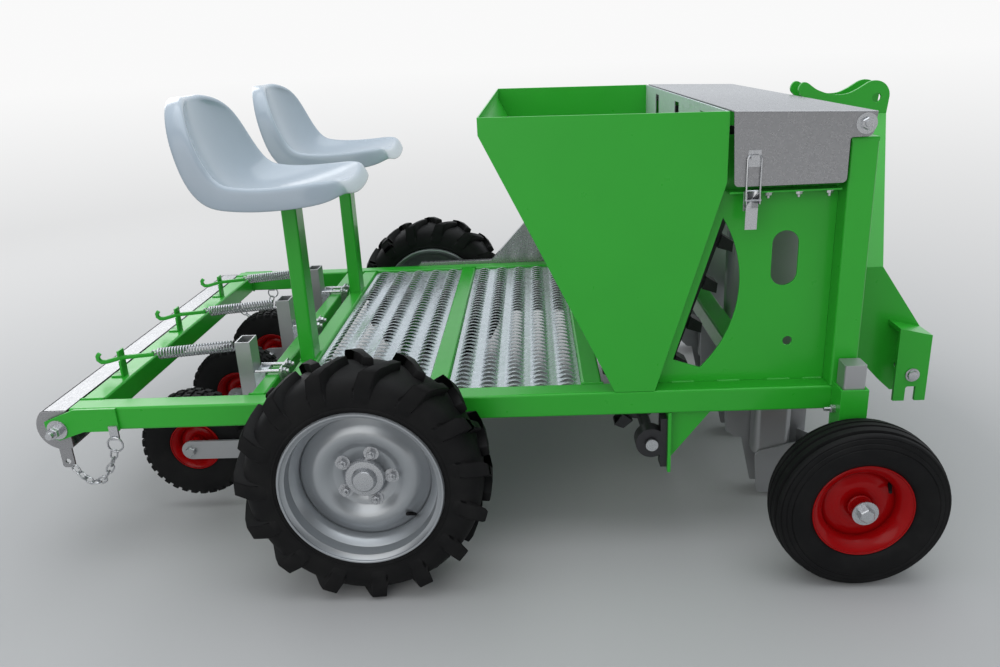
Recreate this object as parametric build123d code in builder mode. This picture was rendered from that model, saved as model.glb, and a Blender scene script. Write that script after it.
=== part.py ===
from build123d import *
import math
import os

# Three-row garlic planter for a tractor's three-point hitch, in millimetres.
# +X points forward to the tractor, +Y to its left side, +Z up, floor at Z = 0.

# Main frame of square tube
frame_rear = -1037.0
frame_front = 870.0
frame_half_width = 650.0
tube = 60.0
tube_round = 6.0
cross_tube = 50.0
drive_wheel_radius = 297.0
drive_axle_tube = 60.0
hanger_height = 47.0
frame_top = drive_wheel_radius + drive_axle_tube / 2 + hanger_height + tube
frame_bottom = frame_top - tube
frame_inner = frame_half_width - tube
frame_mid = frame_top - tube / 2

# Rows of the planter
row_pitch = 375.0
rows = [-row_pitch, 0.0, row_pitch]
row_names = ["right", "middle", "left"]

# Cross tubes under the platform, by their rear face
cross_tube_rear_faces = [-535.0, -155.0, 230.0]
ledge_width = 18.0
ledge_thickness = 4.0

# Platform of corrugated sheet between the cross tubes
platform_waves = 5
platform_rise = 7.0
platform_sheet = 3.0
platform_gap = 2.0

# Drive wheels
drive_wheel_x = -287.0
drive_wheel_out = 120.0
drive_wheel_y = frame_half_width + drive_wheel_out
drive_tyre_width = 156.0
drive_lug_height = 20.0
drive_lug_root = 36.0
drive_lug_thickness = 24.0
drive_lug_foot = 46.0
drive_lug_overlap = 4.0
drive_lugs = 15
drive_lug_sweep = 66.0
drive_tyre_height = 121.0
drive_rim_radius = drive_wheel_radius - drive_tyre_height
drive_rim_width = 138.0
drive_rim_flange = 12.0
drive_disc = 6.0
# Face of the rim's pressed disc: distance out from the middle, share of the rim's radius
drive_dish = [(6.0, 0.84), (16.0, 0.75), (25.0, 0.66), (25.0, 0.58), (10.0, 0.46), (8.0, 0.43)]
drive_hub_radius = 46.0
drive_hub_length = 60.0
drive_hub_cap = 38.0
drive_nuts = 5
drive_nut_circle = 63.0
drive_nut_radius = 10.5
drive_nut_height = 12.0
drive_axle_radius = 20.0
drive_axle_end = 30.0
hanger_foot = 80.0
hanger_head = 180.0

# Front depth wheels
front_wheel_x = 846.0
front_wheel_radius = 199.0
front_wheel_out = 132.0
front_wheel_y = frame_half_width + front_wheel_out
front_tyre_width = 112.0
front_grooves = 4
front_groove_pitch = 22.0
front_groove_width = 5.0
front_groove_depth = 8.0
front_tyre_height = 93.0
front_rim_radius = front_wheel_radius - front_tyre_height
front_rim_width = 84.0
front_rim_flange = 7.0
front_axle_radius = 12.5
front_axle_end = 8.0
front_disc = 6.0
front_hub_radius = 26.0
front_hub_length = 100.0
leg_tube = 50.0
leg_top = frame_top + 71.0
sleeve_wall = 6.0
sleeve_top = frame_top + 13.0
sleeve_bottom = frame_top - 104.0
leg_fit = 0.4

# Press wheels
press_wheel_x = -852.0
press_wheel_z = 203.0
press_wheel_radius = 155.0
press_tyre_width = 84.0
press_tyre_height = 71.0
press_rim_radius = press_wheel_radius - press_tyre_height
press_rim_width = 64.0
press_rim_flange = 5.0
press_axle_radius = 10.0
press_disc = 5.0
press_hub_radius = 22.0
press_hub_length = 78.0
press_arm_side = 55.0
press_arm_thickness = 8.0
press_arm_height = 54.0
press_post_length = 40.0
press_post_width = 60.0
press_post_rear = -672.0
press_post_top = frame_top + 92.0
press_post_wall = 4.0
press_hook_radius = 6.0
press_axle_end = 14.0
press_clamp_height = 50.0
pivot_bar = 40.0
pivot_bar_rear = -602.0

# Springs and their levers
spring_radius = 16.0
spring_wire = 2.4
spring_turns = 30
spring_eye = 12.0
spring_front_z = frame_top + 74.0
spring_rear_z = frame_top + 58.0
spring_rear_x = -905.0
lever_rear_x = -1066.0
lever_width = 26.0
lever_thickness = 8.0
lever_bracket_x = -998.0
lever_gap = 1.5
lever_tip = 20.0
bracket_thickness = 10.0
bracket_width = 60.0
notch_play = 0.5

# Running clearance of every shaft in its bore
running = 0.05

# Seats: stations from the front lip to the crest of the back, each as X, Z, half width,
# lift of the rim above the middle, and depth of the skirt
seat_y = 330.0
seat_wall = 5.0
seat_roll = 14.0
seat_stations = [
    (-326.0, 926.0, 176.0, 4.0, 24.0), (-354.0, 916.0, 188.0, 12.0, 46.0), (-440.0, 896.0, 197.0, 26.0, 56.0),
    (-560.0, 877.0, 200.0, 38.0, 60.0), (-636.0, 877.0, 200.0, 45.0, 60.0), (-694.0, 889.0, 200.0, 50.0, 60.0),
    (-735.0, 930.0, 199.0, 54.0, 60.0), (-757.0, 990.0, 195.0, 54.0, 58.0), (-771.0, 1060.0, 180.0, 48.0, 54.0),
    (-781.0, 1112.0, 146.0, 34.0, 50.0), (-786.0, 1138.0, 92.0, 16.0, 46.0),
]
# Dish of the pan: share of the half width, share of the lift
seat_dish = [(0.25, 0.0), (0.55, 0.24), (0.86, 0.70), (1.0, 1.0)]
seat_post_station = 2
seat_post_x = -512.0
seat_post_length = 40.0
seat_post_width = 70.0

# Hopper of folded sheet
hopper_sheet = 3.0
hopper_end_plate = 6.0
hopper_rear_top = (10.0, 1085.0)
hopper_rear_fold = (10.0, 1047.0)
hopper_floor_rear = (305.0, frame_top + 7.0)
hopper_floor_front = (400.0, frame_top + 7.0)
hopper_front_fold = (550.0, 924.0)
hopper_front_top = (550.0, 1074.0)
chain_slot = 74.0
slot_margin = 20.0

# Planting shafts and cup chains
lower_shaft = (395.0, 290.0)
upper_shaft = (620.0, 965.0)
shaft_radius = 15.0
chain_pitch_radius = 45.0
chain_thickness = 14.0
chain_width = 20.0
cup_count = 15
cup_depth = 38.0
cup_width = 52.0
cup_height = 34.0
cup_wall = 3.0
sprocket_gap = 0.3
bracket_plate = 8.0
bracket_bottom = 215.0
bearing_radius = 38.0
bearing_foot = 16.0
bearing_foot_length = 130.0
bearing_width = 38.0
gusset_plate = 8.0
gusset_length = 105.0
gusset_height = 134.0
flange_bearing_radius = 42.0
flange_bearing_width = 20.0

# Housing in front of the hopper
side_plate = 6.0
side_plate_y = frame_inner + 2.0
window_corners = [(556.0, 835.0), (450.0, 492.0), (515.0, 470.0)]
window_bow = (600.0, 690.0)
slot_centre = (701.0, 735.0)
slot_length = 130.0
slot_width = 60.0
rod_hole = (720.0, 532.0)
rod_hole_radius = 11.0
ledge_bottom = 896.0
ledge_reach = 44.0
ledge_sheet = 4.0
ledge_ends = 8.0
post_rear = 810.0
post_top = 1000.0
upper_beam_bottom = 850.0
side_plate_top = 1020.0

# Lid over the housing
lid_rear = 557.0
lid_front = 857.0
lid_rear_z = 1075.0
lid_front_z = 1062.0
lid_sheet = 2.5
lid_gap = 5.0
lid_side_bottom = 914.0
lid_side_rear = 564.0
lid_side_front = 804.0
lid_ear_bottom = 1010.0
lid_ear_front = 851.0
hinge_x = 835.0
hinge_z = 1037.5
hinge_pin_radius = 6.0
hinge_lug_inset = 15.0
hinge_nut_height = 7.0
hinge_play = 1.5
hinge_lug_thickness = 8.0
hinge_lug_width = 24.0

# Drop tubes and furrow openers
drop_tube_length = 100.0
drop_tube_width = 60.0
drop_tube_round = 18.0
drop_tube_wall = 3.0
drop_tube_bottom = 130.0
funnel_top = 925.0
opener_beam_rear = 640.0
drop_tube_x = opener_beam_rear + tube + 60.0
opener_half_width = 39.0
opener_shank = 45.0
opener_bridge_z = 262.0
opener_nose_top = 250.0
opener_nose_bottom = 170.0
opener_heel_z = 155.0
opener_toe = 35.0
opener_nose_reach = 20.0
opener_wall = 5.0
opener_tip_z = 14.0

# Three-point hitch
hitch_reach = 262.0
hitch_front = frame_front + hitch_reach
mast_plate = 10.0
mast_y = 370.0
mast_arm_width = 122.0
mast_arm_bottom = 645.0
mast_arm_top = 1000.0
mast_knee_share = 0.576
mast_toe = 73.0
mast_brow = 107.0
lower_pin_setback = 40.0
lower_pin = (hitch_front - lower_pin_setback, 373.0)
lower_pin_hole_radius = 14.25
clevis_gap = 65.0
clevis_plate = 10.0
clevis_length = 82.0
clevis_slot = 26.0
clevis_slot_depth = 40.0
clevis_roof = 12.0
top_link_radius = 35.0
top_link = (hitch_front - top_link_radius, 1043.0)
top_link_hole_radius = 12.85
top_link_gap = 64.0
head_hook = 36.0

# Levelling board at the rear
board_pivot = (frame_rear - 35.0, frame_top - 51.0)
board_radius = 60.0
board_sheet = 4.0
board_gap = 4.0
board_half_length = frame_half_width - board_gap
board_bolt_radius = 8.0
board_bolt_end = 40.0
board_rise = 44.0
board_mouth = 13.0
board_end_plate = 6.0
board_tab_width = 32.0
board_tab_length = 66.0
board_tab_drop = 78.0
board_tab_hole = 7.0
end_plate = 8.0
end_plate_length = 120.0
end_plate_round = 30.0

# Chain guard outside the left beam
guard_depth = 26.0
guard_margin = 70.0
guard_bends = [(-45.0, 445.0), (100.0, 600.0)]
guard_top = (395.0, 690.0)
guard_hole_play = 4.0

os.makedirs("parts", exist_ok=True)


def save(part, name):
    part.label = name
    export_step(part, f"parts/{name}.step")


def side_plane(distance):
    """Upright plane seen from the right side, `distance` out to the right."""
    return Plane.XZ.offset(distance)


def wheel_plane(x, y, z):
    """Plane through a wheel's axle: first axis along the axle, second radial."""
    return Plane(origin=(x, y, z), x_dir=(0, 1, 0), z_dir=(1, 0, 0))


# Main frame: two long side beams and the rear beam between them
with BuildPart() as side_beams:
    with BuildSketch(Plane.YZ.offset(frame_rear)):
        beam_y = frame_half_width - tube / 2
        with Locations((-beam_y, frame_mid), (beam_y, frame_mid)):
            RectangleRounded(tube, tube, tube_round)
    extrude(amount=frame_front - frame_rear)
save(side_beams.part, "side_beams")

with BuildPart() as rear_beam:
    with BuildSketch(Plane.XZ):
        with Locations((frame_rear + tube / 2, frame_mid)):
            RectangleRounded(tube, tube, tube_round)
    extrude(amount=frame_inner, both=True)
save(rear_beam.part, "rear_beam")

# Cross tubes with the ledges that carry the platform sheets
platform_floor = frame_top - platform_sheet - platform_rise
ledge_top = platform_floor
with BuildPart() as cross_tubes:
    with BuildSketch(Plane.XZ):
        for rear_face in cross_tube_rear_faces:
            with Locations((rear_face + cross_tube / 2, frame_top - cross_tube / 2)):
                RectangleRounded(cross_tube, cross_tube, tube_round)
        for rear_face in cross_tube_rear_faces[1:]:
            with Locations((rear_face - ledge_width / 2, ledge_top - ledge_thickness / 2)):
                Rectangle(ledge_width, ledge_thickness)
        for rear_face in cross_tube_rear_faces[:-1]:
            ledge_x = rear_face + cross_tube + ledge_width / 2
            with Locations((ledge_x, ledge_top - ledge_thickness / 2)):
                Rectangle(ledge_width, ledge_thickness)
    extrude(amount=frame_inner, both=True)
save(cross_tubes.part, "cross_tubes")

# Platform: two corrugated sheets whose ridges run across the machine
with BuildPart() as platform:
    for rear_face, next_face in zip(cross_tube_rear_faces, cross_tube_rear_faces[1:]):
        start = rear_face + cross_tube + platform_gap
        pitch = (next_face - platform_gap - start) / platform_waves
        with BuildSketch(Plane.XZ):
            with BuildLine():
                for wave in range(platform_waves):
                    left = start + wave * pitch
                    ThreePointArc((left, platform_floor), (left + pitch / 2, platform_floor + platform_rise),
                                  (left + pitch, platform_floor))
                    ThreePointArc((left, platform_floor + platform_sheet),
                                  (left + pitch / 2, platform_floor + platform_rise + platform_sheet),
                                  (left + pitch, platform_floor + platform_sheet))
                end = start + platform_waves * pitch
                Line((start, platform_floor), (start, platform_floor + platform_sheet))
                Line((end, platform_floor), (end, platform_floor + platform_sheet))
            make_face()
        extrude(amount=frame_inner - platform_gap, both=True)
save(platform.part, "platform")

# Seats: a dished pan whose rolled rim turns down into a skirt, lofted through its stations


def station_run(index):
    """Direction of the seat's middle line at a station, from its front to its back."""
    before = seat_stations[max(index - 1, 0)]
    after = seat_stations[min(index + 1, len(seat_stations) - 1)]
    return Vector(after[0] - before[0], 0, after[1] - before[1]).normalized()


def seat_section(half_width, lift, depth, floor):
    """Half outline across the seat: pan, rolled rim, skirt and underside, `floor` below the pan."""
    rim = half_width + seat_roll
    skirt_inner = rim - seat_wall
    upper = [(share * half_width, rise * lift) for share, rise in seat_dish]
    outer = [(half_width + seat_roll * 0.7, lift - seat_roll * 0.3), (rim, lift - seat_roll), (rim, lift - depth)]
    inner = [(skirt_inner, lift - depth), (skirt_inner - seat_wall / 5, lift - max(floor * 0.97, seat_roll)),
             (half_width, lift - max(floor, seat_wall) * 1.05)]
    under = [(share * half_width, rise * lift - floor) for share, rise in reversed(seat_dish[:-1])]
    return upper + outer + inner + under


last_station = len(seat_stations) - 1
seat_slices = []
for index, (x, z, half_width, lift, depth) in enumerate(seat_stations):
    run = station_run(index)
    middle = Vector(x, -seat_y, z)
    closed = [(seat_roll, depth), (seat_roll - seat_wall, depth), (seat_roll - 1.2 * seat_wall, seat_wall)]
    if index == 0:
        seat_slices += [(middle - run * ahead, run, half_width, lift, depth, floor) for ahead, floor in closed]
    elif index == last_station:
        seat_slices += [(middle + run * ahead, run, half_width, lift, depth, floor)
                        for ahead, floor in reversed(closed)]
    else:
        seat_slices.append((middle, run, half_width, lift, depth, seat_wall))

with BuildPart() as seats:
    for middle, run, half_width, lift, depth, floor in seat_slices:
        half_outline = seat_section(half_width, lift, depth, floor)
        with BuildSketch(Plane(origin=middle, x_dir=(0, -1, 0), z_dir=run)):
            with BuildLine():
                Polyline(*half_outline, *[(-across, up) for across, up in reversed(half_outline)], close=True)
            make_face()
    loft(ruled=True)
    mirror(about=Plane.XZ)
save(seats.part, "seats")

# Seat posts, cut off along the underside of the pans
pan_under = []
for index in (seat_post_station, seat_post_station + 1):
    run = station_run(index)
    pan_under.append((seat_stations[index][0] - run.Z * seat_wall, seat_stations[index][1] + run.X * seat_wall))
with BuildPart() as seat_posts:
    with BuildSketch(Plane.XY.offset(frame_top)):
        with Locations((seat_post_x, -seat_y), (seat_post_x, seat_y)):
            RectangleRounded(seat_post_length, seat_post_width, tube_round)
    extrude(amount=pan_under[0][1] - frame_top)
    with BuildSketch(Plane.XZ):
        with BuildLine():
            above_pan = pan_under[0][1] + tube
            Polyline(*pan_under, (pan_under[1][0], above_pan), (pan_under[0][0], above_pan), close=True)
        make_face()
    extrude(amount=frame_half_width, both=True, mode=Mode.SUBTRACT)
save(seat_posts.part, "seat_posts")

# Hopper: two end plates on the beams, a folded rear wall with the floor, and a slotted front wall
hopper_outline = [hopper_rear_top, hopper_rear_fold, (hopper_floor_rear[0], frame_top),
                  (hopper_floor_front[0], frame_top), hopper_front_fold, hopper_front_top]
hopper_end_inner = frame_half_width - hopper_end_plate
with BuildPart() as hopper_ends:
    with BuildSketch(side_plane(hopper_end_inner)):
        with BuildLine():
            Polyline(*hopper_outline, close=True)
        make_face()
    extrude(amount=hopper_end_plate)
    mirror(about=Plane.XZ)
save(hopper_ends.part, "hopper_ends")

rear_run = hopper_floor_rear[0] - hopper_rear_fold[0]
rear_fall = hopper_rear_fold[1] - hopper_floor_rear[1]
rear_shift = hopper_sheet * math.hypot(rear_run, rear_fall) / rear_fall
with BuildPart() as hopper_rear_wall:
    with BuildSketch(Plane.XZ):
        with BuildLine():
            Polyline(
                hopper_rear_top, hopper_rear_fold, hopper_floor_rear, hopper_floor_front,
                (hopper_floor_front[0], hopper_floor_front[1] + hopper_sheet),
                (hopper_floor_rear[0] + rear_shift / 2, hopper_floor_rear[1] + hopper_sheet),
                (hopper_rear_fold[0] + hopper_sheet, hopper_rear_fold[1]),
                (hopper_rear_top[0] + hopper_sheet, hopper_rear_top[1]),
                close=True,
            )
        make_face()
    extrude(amount=hopper_end_inner, both=True)
    with BuildSketch(Plane.XY.offset(hopper_floor_front[1] - hopper_sheet)):
        with GridLocations(0, row_pitch, 1, len(rows)):
            with Locations((hopper_floor_front[0] - chain_slot / 2, 0)):
                Rectangle(chain_slot, chain_slot)
    extrude(amount=4 * hopper_sheet, mode=Mode.SUBTRACT)
save(hopper_rear_wall.part, "hopper_rear_wall")

front_run = hopper_front_fold[0] - hopper_floor_front[0]
front_rise = hopper_front_fold[1] - hopper_floor_front[1]
front_shift = hopper_sheet * math.hypot(front_run, front_rise) / front_rise
with BuildPart() as hopper_front_wall:
    with BuildSketch(Plane.XZ):
        with BuildLine():
            wall_foot_z = hopper_floor_front[1] + hopper_sheet
            wall_foot_x = hopper_floor_front[0] + front_run * hopper_sheet / front_rise
            Polyline(
                (wall_foot_x, wall_foot_z), hopper_front_fold, hopper_front_top,
                (hopper_front_top[0] - front_shift, hopper_front_top[1]),
                (hopper_front_fold[0] - front_shift, hopper_front_fold[1]),
                (wall_foot_x - front_shift, wall_foot_z),
                close=True,
            )
        make_face()
    extrude(amount=hopper_end_inner, both=True)
    slot_top = hopper_front_top[1] - slot_margin
    with BuildSketch(Plane.YZ.offset(hopper_floor_front[0] - chain_slot)):
        with Locations((0, (hopper_floor_front[1] + slot_top) / 2)):
            with GridLocations(row_pitch, 0, len(rows), 1):
                Rectangle(chain_slot, slot_top - hopper_floor_front[1])
    extrude(amount=4 * chain_slot, mode=Mode.SUBTRACT)
save(hopper_front_wall.part, "hopper_front_wall")

# Housing: posts, side plates, and the cross beams that tie the front together
with BuildPart() as front_posts:
    with BuildSketch(Plane.XY.offset(frame_top)):
        with Locations((post_rear + tube / 2, -beam_y), (post_rear + tube / 2, beam_y)):
            RectangleRounded(tube, tube, tube_round)
    extrude(amount=post_top - frame_top)
    with BuildSketch(side_plane(frame_half_width - hinge_lug_inset)):
        with BuildLine():
            lug = Polyline((hinge_x - hinge_lug_width / 2, hinge_z), (hinge_x - hinge_lug_width / 2, post_top),
                           (hinge_x + hinge_lug_width / 2, post_top), (hinge_x + hinge_lug_width / 2, hinge_z))
            RadiusArc(lug @ 1, lug @ 0, -hinge_lug_width / 2)
        make_face()
    extrude(amount=hinge_lug_thickness)
    with BuildSketch(side_plane(frame_half_width - hinge_lug_inset + hinge_lug_thickness)):
        with Locations((hinge_x, hinge_z)):
            Circle(hinge_pin_radius)
    hinge_nut_y = frame_half_width + lid_gap + lid_sheet + hinge_play
    extrude(amount=hinge_nut_y - frame_half_width + hinge_lug_inset - hinge_lug_thickness)
    with BuildSketch(side_plane(hinge_nut_y)):
        with Locations((hinge_x, hinge_z)):
            RegularPolygon(1.9 * hinge_pin_radius, 6)
    extrude(amount=hinge_nut_height)
    mirror(about=Plane.XZ)
save(front_posts.part, "front_posts")

with BuildPart() as front_beams:
    with BuildSketch(Plane.XZ):
        with Locations((post_rear + tube / 2, frame_mid), (opener_beam_rear + tube / 2, frame_mid),
                       (post_rear + tube / 2, upper_beam_bottom + tube / 2)):
            RectangleRounded(tube, tube, tube_round)
    extrude(amount=frame_inner, both=True)
save(front_beams.part, "front_beams")

with BuildPart() as side_plates:
    with BuildSketch(side_plane(side_plate_y)):
        with BuildLine():
            Polyline((hopper_floor_front[0], frame_top), (post_rear, frame_top), (post_rear, side_plate_top),
                     (hopper_front_top[0], side_plate_top), hopper_front_fold, hopper_floor_front, close=True)
        make_face()
        with BuildLine():
            bow = Polyline(*window_corners)
            ThreePointArc(bow @ 1, window_bow, bow @ 0)
        make_face(mode=Mode.SUBTRACT)
        with Locations(slot_centre):
            SlotOverall(slot_length, slot_width, rotation=90, mode=Mode.SUBTRACT)
        with Locations(rod_hole):
            Circle(rod_hole_radius, mode=Mode.SUBTRACT)
        with Locations(upper_shaft):
            Circle(shaft_radius + sprocket_gap, mode=Mode.SUBTRACT)
    extrude(amount=side_plate)
    with BuildSketch(side_plane(side_plate_y + side_plate)):
        with Locations(((hopper_front_top[0] + post_rear) / 2, ledge_bottom + ledge_sheet / 2)):
            Rectangle(post_rear - hopper_front_top[0] - 2 * ledge_ends, ledge_sheet)
    extrude(amount=ledge_reach)
    mirror(about=Plane.XZ)
save(side_plates.part, "side_plates")

# Lid: folded sheet hood, hinged on the two post tops
with BuildPart() as lid:
    with BuildSketch(Plane.XZ):
        with BuildLine():
            Polyline((lid_rear, lid_rear_z), (lid_front, lid_front_z), (lid_front, lid_front_z - lid_sheet),
                     (lid_rear, lid_rear_z - lid_sheet), close=True)
        make_face()
    extrude(amount=frame_half_width + lid_gap + lid_sheet, both=True)
    with BuildSketch(side_plane(frame_half_width + lid_gap)):
        with BuildLine():
            Polyline((lid_side_rear, lid_side_bottom), (lid_side_front, lid_side_bottom),
                     (lid_side_front, lid_ear_bottom), (lid_ear_front, lid_ear_bottom),
                     (lid_front, lid_front_z - lid_sheet / 2), (lid_rear, lid_rear_z - lid_sheet / 2), close=True)
        make_face()
        with Locations((hinge_x, hinge_z)):
            Circle(hinge_pin_radius + running, mode=Mode.SUBTRACT)
    extrude(amount=lid_sheet)
    mirror(about=Plane.XZ)
save(lid.part, "lid")

# Planting shafts: each carries one chain wheel per row
sprocket_radius = chain_pitch_radius - chain_thickness / 2 - sprocket_gap


def planting_shaft(centre, half_length, name):
    with BuildPart() as shaft:
        with BuildSketch(Plane.XZ):
            with Locations(centre):
                Circle(shaft_radius)
        extrude(amount=half_length, both=True)
        for row in rows:
            with BuildSketch(side_plane(-row)):
                with Locations(centre):
                    Circle(sprocket_radius)
            extrude(amount=chain_width / 4, both=True)
    save(shaft.part, name)


planting_shaft(lower_shaft, frame_half_width, "lower_shaft")
planting_shaft(upper_shaft, side_plate_y + side_plate + flange_bearing_width - cup_wall, "upper_shaft")

# Bearing brackets under the beams for the lower shaft
bracket_face = lower_shaft[0] + bearing_radius + sprocket_gap
with BuildPart() as shaft_brackets:
    with BuildSketch(Plane.XY.offset(bracket_bottom)):
        with Locations((bracket_face + bracket_plate / 2, -beam_y)):
            Rectangle(bracket_plate, tube)
    extrude(amount=frame_bottom - bracket_bottom)
    with BuildSketch(side_plane(beam_y)):
        with BuildLine():
            gusset_x = bracket_face + bracket_plate
            Polyline((gusset_x, frame_bottom), (gusset_x + gusset_length, frame_bottom),
                     (gusset_x, frame_bottom - gusset_height), close=True)
        make_face()
    extrude(amount=gusset_plate / 2, both=True)
    mirror(about=Plane.XZ)
save(shaft_brackets.part, "shaft_brackets")

with BuildPart() as lower_bearings:
    with BuildSketch(side_plane(beam_y)):
        with Locations(lower_shaft):
            Circle(bearing_radius)
        with Locations((bracket_face - bearing_foot / 2, lower_shaft[1])):
            Rectangle(bearing_foot, bearing_foot_length)
        with Locations(lower_shaft):
            Circle(shaft_radius + sprocket_gap, mode=Mode.SUBTRACT)
    extrude(amount=bearing_width / 2, both=True)
    mirror(about=Plane.XZ)
save(lower_bearings.part, "lower_bearings")

with BuildPart() as upper_bearings:
    with BuildSketch(side_plane(side_plate_y + side_plate)):
        with Locations(upper_shaft):
            Circle(flange_bearing_radius)
            Circle(shaft_radius + sprocket_gap, mode=Mode.SUBTRACT)
    extrude(amount=flange_bearing_width)
    mirror(about=Plane.XZ)
save(upper_bearings.part, "upper_bearings")

# Cup chains: one endless chain per row with open cups on its outside
chain_dx = upper_shaft[0] - lower_shaft[0]
chain_dz = upper_shaft[1] - lower_shaft[1]
chain_run = math.hypot(chain_dx, chain_dz)


def chain_point(distance):
    """Place and direction of travel on the chain's middle line, from the foot of its rising run."""
    half_turn = math.pi * chain_pitch_radius
    if distance < chain_run:
        return (distance, chain_pitch_radius), 0.0
    distance -= chain_run
    if distance < half_turn:
        turn = distance / chain_pitch_radius
        spot = (chain_run + chain_pitch_radius * math.sin(turn), chain_pitch_radius * math.cos(turn))
        return spot, -math.degrees(turn)
    distance -= half_turn
    if distance < chain_run:
        return (chain_run - distance, -chain_pitch_radius), 180.0
    turn = (distance - chain_run) / chain_pitch_radius
    spot = (-chain_pitch_radius * math.sin(turn), -chain_pitch_radius * math.cos(turn))
    return spot, 180 - math.degrees(turn)


chain_length = 2 * chain_run + 2 * math.pi * chain_pitch_radius


def cup_outline(cup, inset):
    """Side outline of one cup, open in the direction of travel; `inset` draws its hollow."""
    spot, heading = chain_point((cup + 0.5) * chain_length / cup_count)
    foot = chain_thickness / 2 - 1 + 2 * inset
    back = -cup_height / 2 + inset
    mouth = cup_height / 2 + inset
    crest = chain_thickness / 2 + cup_depth - inset
    outline = [(back, foot), (mouth, foot), (mouth, crest), (back + 8, crest - 6)]
    return [Vector(*point).rotate(Axis.Z, heading) + Vector(*spot) for point in outline]


for row, row_name in zip(rows, row_names):
    chain_plane = Plane(
        origin=(lower_shaft[0], row, lower_shaft[1]),
        x_dir=(chain_dx / chain_run, 0, chain_dz / chain_run),
        z_dir=(0, -1, 0),
    )
    with BuildPart() as cup_chain:
        with BuildSketch(chain_plane):
            with Locations((chain_run / 2, 0)):
                SlotCenterToCenter(chain_run, 2 * chain_pitch_radius + chain_thickness)
                SlotCenterToCenter(chain_run, 2 * chain_pitch_radius - chain_thickness, mode=Mode.SUBTRACT)
        extrude(amount=chain_width / 2, both=True)
        with BuildSketch(chain_plane):
            for cup in range(cup_count):
                with BuildLine():
                    Polyline(*cup_outline(cup, 0), close=True)
                make_face()
        extrude(amount=cup_width / 2, both=True)
        with BuildSketch(chain_plane):
            for cup in range(cup_count):
                with BuildLine():
                    Polyline(*cup_outline(cup, cup_wall), close=True)
                make_face()
        extrude(amount=cup_width / 2 - cup_wall, both=True, mode=Mode.SUBTRACT)
    save(cup_chain.part, f"cup_chain_{row_name}")

# Drop tubes from the top of the chains down to the furrow openers
with BuildPart() as drop_tubes:
    for row in rows:
        with BuildSketch(Plane.XY.offset(drop_tube_bottom)):
            with Locations((drop_tube_x, row)):
                RectangleRounded(drop_tube_length, drop_tube_width, drop_tube_round)
                RectangleRounded(drop_tube_length - 2 * drop_tube_wall, drop_tube_width - 2 * drop_tube_wall,
                                 drop_tube_round - drop_tube_wall, mode=Mode.SUBTRACT)
        extrude(amount=funnel_top - drop_tube_bottom)
save(drop_tubes.part, "drop_tubes")

# Furrow openers: V-nosed shoes hung from the two beams
opener_rear = opener_beam_rear + opener_wall
opener_front = post_rear + tube - tube_round
opener_nose = post_rear + tube + opener_nose_reach
opener_shoulder = drop_tube_x + drop_tube_length * 0.4


def opener_plan(row, inset):
    """Outline of one shoe seen from above, `inset` inside its outer face."""
    half = opener_half_width - inset
    rear = opener_beam_rear - 2 * inset
    shoulder = opener_shoulder - 0.4 * inset
    return [(rear, row - half), (shoulder, row - half), (opener_nose - 3.2 * inset, row),
            (shoulder, row + half), (rear, row + half)]


with BuildPart() as openers:
    for row in rows:
        with BuildSketch(side_plane(-row)):
            with BuildLine():
                Polyline((opener_rear, frame_bottom), (opener_rear + opener_shank, frame_bottom),
                         (opener_rear + opener_shank + opener_wall, opener_bridge_z),
                         (opener_front - opener_shank + opener_wall / 2, opener_bridge_z),
                         (opener_front - opener_shank + opener_wall, frame_bottom), (opener_front, frame_bottom),
                         (opener_nose - opener_wall, opener_nose_top),
                         (opener_nose - opener_wall, opener_nose_bottom),
                         (drop_tube_x + opener_toe / 2, opener_tip_z),
                         (drop_tube_x - opener_toe / 2, opener_tip_z),
                         (opener_rear + opener_shank + 2 * opener_wall, opener_heel_z),
                         (opener_rear, opener_heel_z), close=True)
            make_face()
        extrude(amount=opener_half_width, both=True)
    with BuildSketch(Plane.XY):
        for row in rows:
            with BuildLine():
                Polyline(*opener_plan(row, 0), close=True)
            make_face()
    extrude(amount=frame_bottom, mode=Mode.INTERSECT)
    with BuildSketch(Plane.XY):
        for row in rows:
            with BuildLine():
                Polyline(*opener_plan(row, opener_wall), close=True)
            make_face()
    extrude(amount=frame_bottom, mode=Mode.SUBTRACT)
save(openers.part, "openers")

# Drive axle under the frame with its hanger plates
with BuildPart() as drive_axle:
    with BuildSketch(Plane.XZ):
        with Locations((drive_wheel_x, drive_wheel_radius)):
            RectangleRounded(drive_axle_tube, drive_axle_tube, tube_round)
    extrude(amount=frame_half_width, both=True)
    with BuildSketch(Plane.XZ):
        with Locations((drive_wheel_x, drive_wheel_radius)):
            Circle(drive_axle_radius)
    extrude(amount=drive_wheel_y + drive_axle_end, both=True)
save(drive_axle.part, "drive_axle")

with BuildPart() as axle_hangers:
    with BuildSketch(side_plane(frame_inner)):
        with BuildLine():
            axle_top = drive_wheel_radius + drive_axle_tube / 2
            Polyline((drive_wheel_x - hanger_head / 2, frame_bottom),
                     (drive_wheel_x + hanger_head / 2, frame_bottom),
                     (drive_wheel_x + hanger_foot / 2, axle_top),
                     (drive_wheel_x - hanger_foot / 2, axle_top), close=True)
        make_face()
    extrude(amount=tube)
    mirror(about=Plane.XZ)
save(axle_hangers.part, "axle_hangers")

# Drive wheels: ribbed farm tyre on a dished rim
tyre_gap = 0.2
rim_sheet = 5.0
well_depth = 14.0
rim_well_wall = 8.0


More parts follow.
